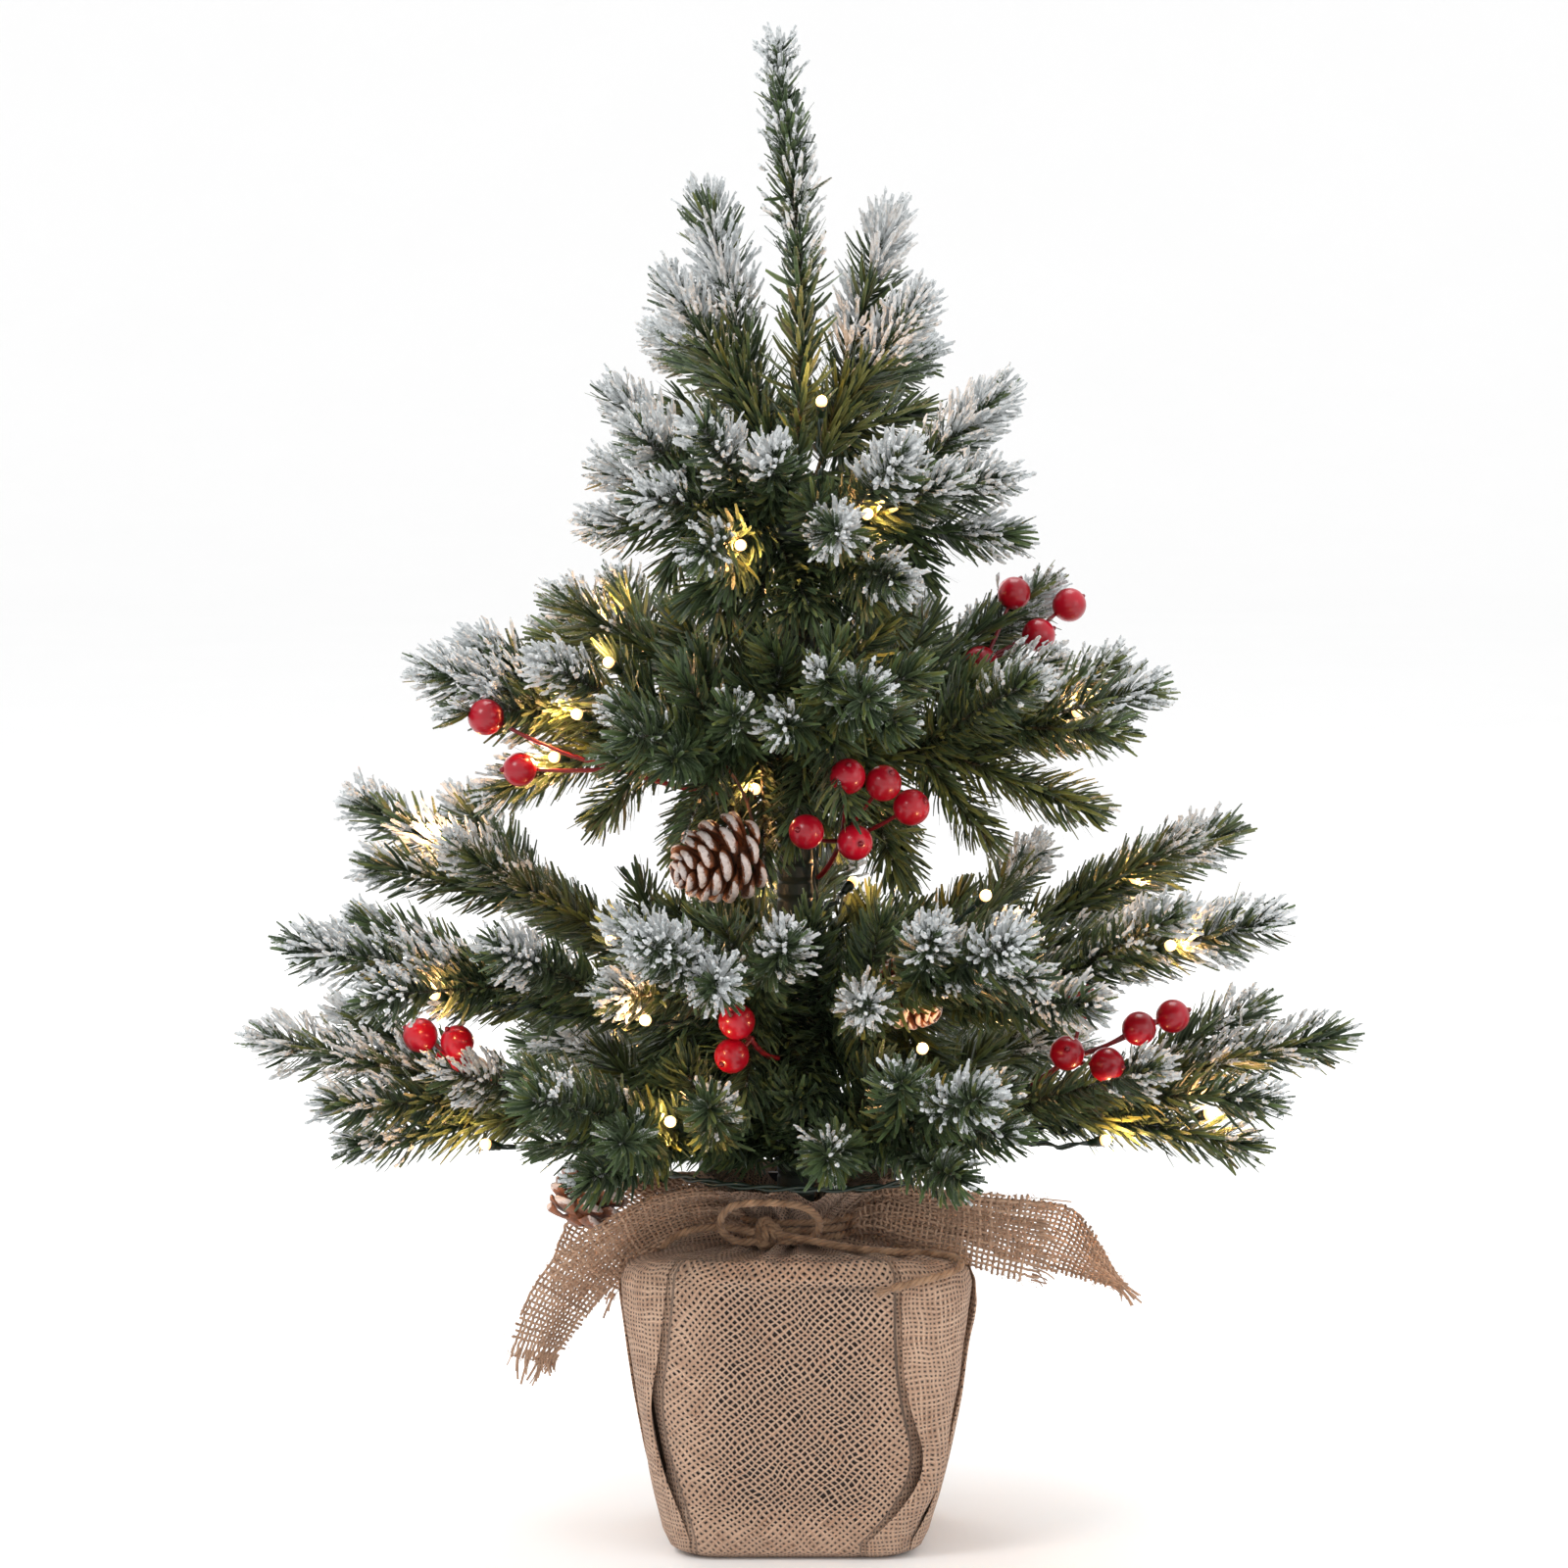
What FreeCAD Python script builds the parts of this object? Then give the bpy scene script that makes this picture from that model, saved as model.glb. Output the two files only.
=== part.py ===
"""Artificial tabletop tree: a weighted pot wrapped in burlap, a taped trunk and hinged brush branches.

The origin is at the centre of the flat underside, +Z is up and -Y is the front. Millimetres.
Every branch is a twisted-wire brush that bends at its root, so each one is a body of its own.
"""
import FreeCAD
import Part
import math
import os
from collections import namedtuple

Vector = FreeCAD.Vector

# ---------------------------------------------------------------- driving dimensions
CLOTH = 1.5                 # thickness of the burlap
POT_CORNER = 22             # corner radius of the square pot where it is widest
POT_STATIONS = [            # height, half width and corner radius of the wrapped pot
    (0, 44, 14), (3, 50, 18), (10, 53, 20), (24, 55.5, 21), (62, 62, POT_CORNER),
    (104, 68.5, POT_CORNER), (113, 69, POT_CORNER), (118, 67, POT_CORNER), (120.5, 61, 21)]
COLLAR_STATIONS = [         # the cloth drawn in to the neck, and its open collar above the tie
    (121.5, 31, 20), (125, 23, 18), (131, 23, 18), (136, 30, 20), (142, 43, 24)]
NECK_FLOOR = 132.5          # the bunched cloth fills the neck up to here
NECK_HOLE_R = 7.6           # the cloth is tied tight round the trunk
NECK_TIE_Z = 128            # height of the twine round the neck
NECK_HALF = 23
LINER_GAP = 0.4             # air between the burlap and the plastic pot
LINER_WALL = 1.6
LINER_TOP = 116
CEMENT_TOP = 58
ROD_R = 4.0
ROD_BOTTOM = 6
TRUNK_TOP = 428
TAPE_R = 7.5                # outside of the tape's ribs
TAPE_GROOVE_R = 6.9
TAPE_BOTTOM = 119
TAPE_PITCH = 7.0
HINGE_R = 8.9               # branch roots bend this far from the trunk's axis
WIRE_R = 1.2
BARE_WIRE = 22              # bare wire between a root and its needles
BRUSH_R = 8.0               # dense inner half of a main brush
TWIG_R = 7.0
BRUSH_SIDES = 8
BERRY_R = 7.0
BERRY_STEM_R = 0.9
BERRY_FORK_R = 1.2
SIDE_STEM_R = 0.75
CALYX_R = 1.2
LED_R = 2.5
LED_LENGTH = 8.0
LEAD_R = 0.7
CABLE_R = 1.5               # twin lead of the light string
TWINE_R = 1.6               # jute twine

# Twigs of a branch: share along the main wire, side angle, lift angle, share of the main length.
TWIGS = {
    "bottom": [(0.28, 32, 8, 0.44), (0.28, -32, -12, 0.44), (0.52, 24, -12, 0.36),
               (0.56, -22, 12, 0.34), (0.40, 4, -22, 0.42)],
    "lower": [(0.30, 30, 12, 0.44), (0.30, -30, -10, 0.42), (0.56, 22, -12, 0.34),
              (0.56, -22, 12, 0.32)],
    "lower_open": [(0.30, -30, -10, 0.42), (0.56, 22, 4, 0.34), (0.56, -22, 12, 0.32)],
    "middle": [(0.30, 30, 14, 0.50), (0.30, -30, -10, 0.50), (0.56, 20, -14, 0.38),
               (0.56, -20, 16, 0.36)],
    "middle_low": [(0.30, 30, 14, 0.50), (0.30, -30, -10, 0.50), (0.56, 20, -14, 0.38),
                   (0.56, -20, 16, 0.36), (0.34, -4, -36, 0.50)],
    "crown": [(0.22, 27, -4, 0.70), (0.22, -27, -24, 0.70), (0.20, 0, -46, 0.66)],
    "crown_back": [(0.25, 20, -6, 0.52), (0.30, -6, -46, 0.60)],
}

# Azimuth is in degrees from +X, rise in degrees above level, length is from the root to the tip.
# hand is -1 where the twigs are mirrored.
Branch = namedtuple("Branch", "name twigs azimuth root_z rise length hand")
BRANCHES = [
    Branch("bottom_branch_left", "bottom", 181, 155, 13, 208, 1),
    Branch("bottom_branch_front_left", "bottom", 234, 155, 15, 165, 1),
    Branch("bottom_branch_front", "bottom", 294, 155, 16, 165, 1),
    Branch("bottom_branch_right", "bottom", 359, 155, 13, 212, -1),
    Branch("bottom_branch_back_right", "bottom", 55, 155, 14, 192, -1),
    Branch("bottom_branch_back_left", "bottom", 122, 155, 14, 192, 1),
    Branch("lower_branch_left", "lower", 198, 205, 12, 198, -1),
    Branch("lower_branch_back_left", "lower", 157, 207, 24, 204, 1),
    Branch("lower_branch_front_left", "lower", 250, 209, 18, 160, 1),
    Branch("lower_branch_front_right", "lower", 300, 207, 18, 160, 1),
    Branch("lower_branch_right", "lower_open", 341, 203, 16, 192, 1),
    Branch("lower_branch_back_right", "lower", 24, 205, 21, 200, 1),
    Branch("lower_branch_back", "lower", 90, 205, 18, 176, 1),
    Branch("middle_branch_left", "middle_low", 188, 317, 14, 140, 1),
    Branch("middle_branch_back_left", "middle", 138, 329, 20, 130, 1),
    Branch("middle_branch_front_left", "middle", 236, 317, 8, 106, 1),
    Branch("middle_branch_front", "middle", 284, 329, 10, 106, 1),
    Branch("middle_branch_right", "middle_low", 346, 309, 15, 138, -1),
    Branch("middle_branch_back_right", "middle", 42, 325, 20, 140, 1),
    Branch("middle_branch_back", "middle", 90, 317, 14, 122, -1),
    Branch("crown_branch_left", "crown", 184, 397, 45, 87, 1),
    Branch("crown_branch_front_left", "crown", 242, 399, 36, 84, 1),
    Branch("crown_branch_front_right", "crown", 300, 395, 30, 84, 1),
    Branch("crown_branch_right", "crown", 358, 397, 41, 94, 1),
    Branch("crown_branch_back_right", "crown_back", 50, 419, 66, 120, -1),
    Branch("crown_branch_back_left", "crown_back", 130, 419, 68, 128, 1),
]
LEADER = [(0, 0, 428), (3, 0, 480), (0, 0, 540), (-5, 0, 572), (-7, 0, 600)]
LEADER_R = 5.0

# Berry sprays: (root of the stem, berry centres). Each is wired to the branch it is named after.
SPRAYS = {
    "berry_spray_middle_back_right": ((58, 44, 344), [
        (90, 62, 378), (113, 66, 373), (100, 58, 361), (76, 52, 350), (91, 60, 325)]),
    "berry_spray_middle_left": ((-16, -14, 300), [(-122, -34, 334), (-109, -30, 313)]),
    "berry_spray_trunk": ((9, -9, 268), [
        (20, -62, 313), (34, -58, 310), (45, -52, 300), (4, -58, 291), (23, -50, 286)]),
    "berry_spray_lower_front_left": ((-7, -50, 201), [
        (-31, -70, 229), (-23, -76, 219), (-25, -72, 205)]),
    "berry_spray_bottom_left": ((-112, -14, 184), [
        (-150, -14, 205), (-135, -18, 203), (-138, -12, 194)]),
    "berry_spray_bottom_right": ((86, -8, 182), [
        (115, -12, 218), (108, -22, 199), (137, -16, 208), (151, -9, 212), (124, -20, 194)]),
}
# Pine cones: (centre, radius, length, top of the wire they hang from).
CONES = {
    "pine_cone_middle_front_left": ((-30, -52, 279), 20, 40, (-28, -44, 316)),
    "pine_cone_bottom_left": ((-82, -6, 141), 18, 38, (-80, -4, 168)),
    "pine_cone_lower_front_right": ((43, -54, 226), 15, 34, (36, -62, 222)),
    "pine_cone_lower_back": ((14, 66, 196), 17, 38, (6, 62, 220)),
}
# Lights that hang on a branch: LED centres. The lead runs in along the branch.
LIGHTS = {
    "bottom_branch_front_left": [(-48, -80, 180)],
    "bottom_branch_right": [(122, -18, 163), (164, -8, 172)],
    "lower_branch_left": [(-140, -52, 226), (-72, -30, 244)],
    "lower_branch_back_left": [(-142, 50, 277)],
    "lower_branch_front_right": [(72, -84, 268)],
    "lower_branch_right": [(145, -52, 245)],
    "middle_branch_left": [(-73, -12, 353), (-85, -26, 334), (-94, -22, 317)],
}
TRUNK_LIGHTS = [(10, -24, 456), (-15, -22, 304), (-10, 26, 380), (22, 18, 262)]

# Light cable, from the battery box round the neck and up the trunk.
CABLE_ROUTE = [
    (-33, 49, 130.3), (-46, 47, 132.5), (-56, 30, 140), (-58, 6, 147), (-51, -20, 150),
    (-34, -42, 150), (-10, -53, 149.5), (14, -55, 149.5), (36, -51, 150), (51, -38, 152),
    (46, -22, 153.5), (28, -17, 154), (12.5, -12, 159), (8.4, -7, 172), (8.05, -6.75, 190),
    (8.05, -6.75, 196)]
CABLE_TOP = 392
UNDER_TAPE = 6.2             # where a trunk lamp's lead starts, out from the trunk's middle

# Bow of the neck twine, as routes of limp cord.
TWINE_ROUTES = {
    "twine_bow_loop": [
        (-13, -31, 125), (-22, -33, 124.5), (-29, -37, 130.5), (-29, -43.5, 139.5),
        (-22, -47.5, 146), (6, -47.5, 146), (12.5, -43.5, 139.5), (12.5, -37, 130.5),
        (5.5, -33, 124.5), (-7, -31, 125)],
    "twine_tail_left": [(-15, -30, 128), (-27, -33, 131), (-38, -35, 131), (-48, -35, 128),
                        (-54, -34, 122.9)],
    "twine_tail_right": [
        (-8, -32, 128), (8, -39, 126), (26, -44, 123.6), (42, -46, 123.1), (56, -48, 123),
        (65, -57, 122.2), (64, -68.5, 120.5), (53, -74.5, 118), (37, -74.5, 114)],
}

# Battery box on the cloth behind the neck.
BOX_LOW = (-40, 33, 121.5)
BOX_HIGH = (34, 67, 138.3)
BOX_WALL = 1.6
PARTITION_X = -28
CELL_R = 7.1
CELL_LENGTH = 49.2
CELL_NUB = (2.7, 1.2)       # radius and length of the positive end
COVER_THICK = 1.6
COVER_GAP = 0.3
RAIL = 1.6                  # width of the rails that hold the cover
RAIL_LIP = 1.3
SLOT = (-37.0, -30.0, 128.3, 131.7)     # switch slot: x from, x to, z from, z to
KNOB_WIDTH = 3.4

os.makedirs("parts", exist_ok=True)


# ---------------------------------------------------------------- helpers
def save(name, shape):
    """Write one node. A group of solids stays a group."""
    solids = shape.Solids
    for solid in solids:
        if not solid.isValid() or solid.Volume <= 0:
            raise ValueError(f"{name} is not a sound solid")
    kept = solids[0] if len(solids) == 1 else Part.makeCompound(solids)
    kept.exportStep(f"parts/{name}.step")
    print(f"{name:34s} {len(solids):2d} solids {sum(s.Volume for s in solids):10.1f} mm3")


def fuse(shapes):
    """One solid from overlapping ones."""
    whole = shapes[0].multiFuse(shapes[1:]) if len(shapes) > 1 else shapes[0]
    return whole.removeSplitter()


def rounded_square(z, half, corner):
    """A closed outline of a square with round corners, level at height z."""
    flat = half - corner
    reach = flat + corner * math.sqrt(0.5)
    edges = []
    for quarter in range(4):
        turn = math.radians(90 * quarter)

        def spot(x, y):
            return Vector(x * math.cos(turn) - y * math.sin(turn),
                          x * math.sin(turn) + y * math.cos(turn), z)

        edges.append(Part.LineSegment(spot(half, -flat), spot(half, flat)).toShape())
        arc = Part.Arc(spot(half, flat), spot(reach, reach), spot(flat, half))
        edges.append(arc.toShape())
    return Part.Wire(edges)


def stacked(stations):
    """A solid through level rounded squares, straight between one and the next."""
    return Part.makeLoft([rounded_square(*s) for s in stations], True, True)


def rod(start, end, radius):
    """A round rod between two points."""
    run = end - start
    return Part.makeCylinder(radius, run.Length, start, run)


def ring_of(centre, along, radius, sides=BRUSH_SIDES):
    """Corner points of a regular polygon square to a direction."""
    along = Vector(along).normalize()
    side = Vector(0, 0, 1).cross(along)
    side = Vector(1, 0, 0) if side.Length < 0.01 else side.normalize()
    up = along.cross(side)
    points = []
    for n in range(sides):
        turn = 2 * math.pi * (n + 0.5) / sides
        points.append(centre + side * (radius * math.cos(turn)) + up * (radius * math.sin(turn)))
    return points


def faceted(rings):
    """A solid with flat faces through rings of points."""
    count = len(rings[0])
    faces = [Part.Face(Part.makePolygon(rings[0] + rings[0][:1])),
             Part.Face(Part.makePolygon(rings[-1] + rings[-1][:1]))]
    for low, high in zip(rings, rings[1:]):
        for n in range(count):
            m = (n + 1) % count
            faces.append(Part.Face(Part.makePolygon([low[n], low[m], high[m], high[n], low[n]])))
    solid = Part.Solid(Part.Shell(faces))
    if solid.Volume < 0:
        solid.reverse()
    return solid


def brush(start, end, radius):
    """The dense inner part of a needle brush: a spindle with eight flat sides."""
    run = end - start
    shape = [(0.0, 0.35), (0.16, 0.92), (0.45, 1.0), (0.86, 0.82), (1.0, 0.38)]
    return faceted([ring_of(start + run * share, run, radius * size) for share, size in shape])


def rounded_path(points, label, least):
    """Straight runs joined by tangent arcs, each as large as its two runs allow."""
    spots = [Vector(*p) for p in points]
    edges, radii, at = [], [], spots[0]
    for before, corner, after in zip(spots, spots[1:], spots[2:]):
        back, on = (before - corner), (after - corner)
        shorter = min(back.Length, on.Length)
        back.normalize()
        on.normalize()
        turn = math.pi - back.getAngle(on)
        radius = 0.45 * shorter / math.tan(turn / 2)
        trim = 0.45 * shorter
        first, last = corner + back * trim, corner + on * trim
        inward = (back + on).normalize()
        centre_away = math.hypot(radius, trim)
        middle = corner + inward * (centre_away - radius)
        edges.append(Part.LineSegment(at, first).toShape())
        edges.append(Part.Arc(first, middle, last).toShape())
        radii.append(radius)
        at = last
    edges.append(Part.LineSegment(at, spots[-1]).toShape())
    print(f"{label}: length {sum(e.Length for e in edges):.0f}, radii",
          " ".join(f"{r:.0f}" for r in radii))
    if min(radii) < least:
        raise ValueError(f"{label} turns tighter than {least}")
    return Part.Wire(edges)


def tube(points, radius, label, least):
    """A round cord along a rounded path."""
    path = rounded_path(points, label, least)
    start = Vector(*points[0])
    along = (Vector(*points[1]) - start).normalize()
    outline = Part.Wire([Part.makeCircle(radius, start, along)])
    solid = path.makePipeShell([outline], True, False)
    expected = math.pi * radius ** 2 * path.Length
    if abs(solid.Volume / expected - 1) > 0.02:
        raise ValueError(f"{label} has {solid.Volume:.0f} mm3, not {expected:.0f}")
    return solid


# ---------------------------------------------------------------- base
def flap(outline, direction, start):
    """A stiff corner of cloth in an upright plane. outline holds (distance out, height)."""
    out = Vector(math.cos(math.radians(direction)), math.sin(math.radians(direction)), 0)
    across = Vector(-out.y, out.x, 0)
    corner = Vector(start[0], start[1], 0)
    spots = [corner + out * reach + Vector(0, 0, z) - across * (CLOTH / 2) for reach, z in outline]
    return Part.Face(Part.makePolygon(spots + spots[:1])).extrude(across * CLOTH)


FLAPS = [   # direction in degrees, start (x, y), outline of (distance out, height)
    (206, (-22, -20), [(0, 136), (12, 141), (42, 141), (66, 131), (86, 110), (100, 82),
                       (76, 80), (60, 106), (38, 124), (10, 130)]),
    (-22, (24, -20), [(0, 134), (8, 142), (76, 142), (76, 107), (52, 112), (24, 123), (4, 128)]),
    (9, (26, 14), [(0, 136), (12, 141), (92, 125), (106, 118), (108, 91), (72, 98), (30, 124)]),
    (151, (-24, 18), [(0, 136), (12, 141), (48, 138), (74, 122), (88, 92), (60, 86), (34, 118),
                      (10, 128)]),
]


def burlap_wrap():
    """One square of burlap: up the pot, drawn in at the neck, open above it with four corners."""
    wrap = stacked(POT_STATIONS + COLLAR_STATIONS)
    below = [(z + (CLOTH if z < 1 else 0), half - CLOTH, corner - CLOTH)
             for z, half, corner in POT_STATIONS[:-1]]
    wrap = wrap.cut(stacked(below + [(POT_STATIONS[-1][0] - CLOTH, POT_STATIONS[-1][1], 20)]))
    (z0, half0, _), (z1, half1, corner1) = COLLAR_STATIONS[-2:]
    funnel = [(NECK_FLOOR, half0 - 8, 12), (z0 + 1, half0 - CLOTH, 18),
              (z1 + 1, half1 + 1 - CLOTH, corner1 - CLOTH)]
    wrap = wrap.cut(stacked(funnel))
    wrap = fuse([wrap] + [flap(outline, way, start) for way, start, outline in FLAPS])
    wrap = wrap.cut(Part.makeCylinder(NECK_HOLE_R, 60, Vector(0, 0, 100)))
    # the collar is pressed flat where the battery box and its sliding cover pass
    behind = box_between((BOX_LOW[0] - 2, BOX_LOW[1] - 0.5, POT_STATIONS[-1][0] + 1.01),
                         (BOX_HIGH[0] + 80, BOX_HIGH[1] + 5, 150))
    return wrap.cut(behind)


def inside_pot(inset, low, high):
    """Level outlines a given distance inside the pot's outer surface, between two heights."""
    stations = []
    levels = [z for z, _, _ in POT_STATIONS if low < z < high]
    for z in [low] + levels + [high]:
        for (z0, h0, c0), (z1, h1, c1) in zip(POT_STATIONS, POT_STATIONS[1:]):
            if z0 <= z <= z1:
                share = (z - z0) / (z1 - z0)
                half = h0 + (h1 - h0) * share
                corner = c0 + (c1 - c0) * share
        stations.append((z, half - inset, corner - min(inset, 6)))
    return stations


def pot_liner():
    """Thin square plastic pot under the cloth, open at the top."""
    inset = CLOTH + LINER_GAP
    floor = CLOTH + LINER_GAP
    outer = stacked(inside_pot(inset, floor, LINER_TOP))
    inner = stacked(inside_pot(inset + LINER_WALL, floor + LINER_WALL, LINER_TOP) +
                    [(LINER_TOP + 1, 60, 18)])
    return outer.cut(inner)


def cement_weight():
    """Cast weight in the bottom of the pot, with the trunk set into it."""
    inset = CLOTH + LINER_GAP + LINER_WALL + 0.2
    block = stacked(inside_pot(inset, CLOTH + LINER_GAP + LINER_WALL + 0.2, CEMENT_TOP))
    hole = Part.makeCylinder(ROD_R, CEMENT_TOP, Vector(0, 0, ROD_BOTTOM))
    return block.cut(hole)


def twine_tie():
    """Three turns of twine round the neck and the knot in front."""
    turns = []
    radius = NECK_HALF + TWINE_R + 0.1
    for n in range(3):
        turns.append(Part.makeTorus(radius, TWINE_R, Vector(0, 0, NECK_TIE_Z + (n - 1) * 2.6)))
    knot = Part.makeSphere(5.2, Vector(-11, -27.6, NECK_TIE_Z - 0.5))
    return fuse(turns + [knot])


# ---------------------------------------------------------------- trunk and leader
def trunk_rod():
    return Part.makeCylinder(ROD_R, TRUNK_TOP - ROD_BOTTOM, Vector(0, 0, ROD_BOTTOM))


def trunk_tape():
    """Tape wound round the rod and the branch wires, in ribs."""
    inside = ROD_R + 0.05
    profile = [(inside, TAPE_BOTTOM)]
    ribs = int((TRUNK_TOP - TAPE_BOTTOM) / TAPE_PITCH)
    for n in range(ribs):
        z = TAPE_BOTTOM + n * TAPE_PITCH
        profile += [(TAPE_GROOVE_R, z), (TAPE_R, z + 0.25 * TAPE_PITCH),
                    (TAPE_R, z + 0.85 * TAPE_PITCH)]
    profile += [(TAPE_GROOVE_R, TAPE_BOTTOM + ribs * TAPE_PITCH),
                (inside, TAPE_BOTTOM + ribs * TAPE_PITCH)]
    spots = [Vector(r, 0, z) for r, z in profile]
    return Part.Face(Part.makePolygon(spots + spots[:1])).revolve(Vector(), Vector(0, 0, 1), 360)


def leader():
    """The thin top brush, its wire seated on the trunk."""
    spots = [Vector(*p) for p in LEADER]
    pieces = [rod(spots[0], spots[1], WIRE_R)]
    for n, (low, high) in enumerate(zip(spots, spots[1:])):
        start = low + (high - low) * (0.12 if n == 0 else -0.08)
        last = n == len(spots) - 2
        shape = [(0.0, 0.8), (0.5, 1.0), (1.0, 0.4 if last else 0.9)]
        run = high - start
        pieces.append(faceted([ring_of(start + run * share, run, LEADER_R * size)
                               for share, size in shape]))
    return fuse(pieces)


# ---------------------------------------------------------------- branches
def branch_frame(branch):
    """Root point and the branch's own directions: along it, to its side and above it."""
    azimuth, rise = math.radians(branch.azimuth), math.radians(branch.rise)
    out = Vector(math.cos(azimuth), math.sin(azimuth), 0)
    side = Vector(-out.y, out.x, 0)
    along = out * math.cos(rise) + Vector(0, 0, math.sin(rise))
    above = out * -math.sin(rise) + Vector(0, 0, math.cos(rise))
    return out * HINGE_R + Vector(0, 0, branch.root_z), along, side, above


def branch_stems(branch):
    """Start and end of the main brush and of each twig."""
    root, along, side, above = branch_frame(branch)
    stems = [(root + along * BARE_WIRE, root + along * branch.length)]
    for share, side_turn, lift, size in TWIGS[branch.twigs]:
        turn, lift = math.radians(side_turn * branch.hand), math.radians(lift)
        way = (along * (math.cos(turn) * math.cos(lift)) + side * math.sin(turn)
               + above * (math.cos(turn) * math.sin(lift))).normalize()
        start = root + along * (share * branch.length)
        stems.append((start, start + way * (size * branch.length)))
    return stems


def branch_brush(branch):
    """A whole branch as it is made: twisted wire with needle brushes on it and on its twigs."""
    root, along, _, _ = branch_frame(branch)
    stems = branch_stems(branch)
    wire = faceted([ring_of(root + along * s, along, WIRE_R) for s in (0, BARE_WIRE + 6)])
    brushes = [brush(*stems[0], BRUSH_R)] + [brush(*stem, TWIG_R) for stem in stems[1:]]
    return fuse([wire] + brushes)


# ---------------------------------------------------------------- trimmings
def led(centre, towards):
    """An LED in its holder, a stub with a domed tip."""
    centre, towards = Vector(*centre), Vector(towards).normalize()
    start = centre - towards * (LED_LENGTH / 2)
    body = Part.makeCylinder(LED_R, LED_LENGTH - LED_R, start, towards)
    return fuse([body, Part.makeSphere(LED_R, start + towards * (LED_LENGTH - LED_R))])


def light_group(lead_from, centres):
    """LEDs, each joined to its lead."""
    lamps = []
    for centre in centres:
        run = Vector(*centre) - lead_from
        lamps.append(fuse([rod(lead_from, Vector(*centre), LEAD_R), led(centre, run)]))
    return lamps


def berry(fork, centre):
    """A stem, its round berry and the dry tip beyond, turned about one axis."""
    way = centre - fork
    middle = way.Length
    low = middle - math.sqrt(BERRY_R ** 2 - SIDE_STEM_R ** 2)
    high = middle + math.sqrt(BERRY_R ** 2 - CALYX_R ** 2)
    end = middle + BERRY_R + 1.2
    round_part = Part.Arc(Vector(SIDE_STEM_R, 0, low), Vector(BERRY_R, 0, middle), Vector(CALYX_R, 0, high))
    stem = [Vector(0, 0, 0), Vector(SIDE_STEM_R, 0, 0), Vector(SIDE_STEM_R, 0, low)]
    tip = [Vector(CALYX_R, 0, high), Vector(0.5, 0, end), Vector(0, 0, end), Vector(0, 0, 0)]
    outline = [Part.makeLine(p, q) for p, q in zip(stem, stem[1:])] + [round_part.toShape()]
    outline += [Part.makeLine(p, q) for p, q in zip(tip, tip[1:])]
    turned = Part.Face(Part.Wire(outline)).revolve(Vector(), Vector(0, 0, 1), 360)
    turned.Placement = FreeCAD.Placement(fork, FreeCAD.Rotation(Vector(0, 0, 1), way))
    return turned


def berry_spray(root, berries):
    """Round berries on branching stems from one root."""
    root = Vector(*root)
    centres = [Vector(*b) for b in berries]
    middle = Vector()
    for centre in centres:
        middle = middle + centre * (1.0 / len(centres))
    fork = root + (middle - root) * 0.55
    knot = Part.makeSphere(BERRY_FORK_R, fork, middle - root)
    return fuse([rod(root, fork, BERRY_STEM_R), knot] + [berry(fork, centre) for centre in centres])


def pine_cone(centre, radius, length, hook):
    """An open cone: rings of scales round a core, tip down, on a wire."""
    rings = 5
    profile = [(0, length / 2)]
    for n in range(rings):
        share = (n + 0.5) / rings
        swell = radius * math.sin(math.pi * (0.12 + 0.76 * (1 - share)) ** 0.8)
        top = length * (0.5 - n / rings)
        profile += [(swell, top - 0.35 * length / rings), (swell * 0.96, top - 0.6 * length / rings),
                    (swell * 0.55, top - length / rings)]
    profile[-1] = (0, -length / 2)
    spots = [Vector(r, 0, z) for r, z in profile]
    scales = Part.Face(Part.makePolygon(spots + spots[:1])).revolve(Vector(), Vector(0, 0, 1), 360)
    centre, hook = Vector(*centre), Vector(*hook)
    tilt = FreeCAD.Rotation(Vector(0, 0, 1), hook - centre)
    scales.Placement = FreeCAD.Placement(centre, tilt)
    return fuse([scales, rod(centre, hook, 0.7)])


def trunk_lights():
    """The lead bound along the trunk, and the lamps whose leads come out from under the tape."""
    cable_x, cable_y, start = CABLE_ROUTE[-1]
    riser = rod(Vector(cable_x, cable_y, start), Vector(cable_x, cable_y, CABLE_TOP), CABLE_R)
    groups = [riser]
    for centre in TRUNK_LIGHTS:
        outward = Vector(centre[0], centre[1], 0).normalize()
        lead_start = outward * UNDER_TAPE + Vector(0, 0, min(centre[2] - 6, TRUNK_TOP - 4))
        groups += light_group(lead_start, [centre])
    return Part.makeCompound(groups)


# ---------------------------------------------------------------- battery box
def box_between(low, high):
    size = [b - a for a, b in zip(low, high)]
    return Part.makeBox(*size, Vector(*low))


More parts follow.
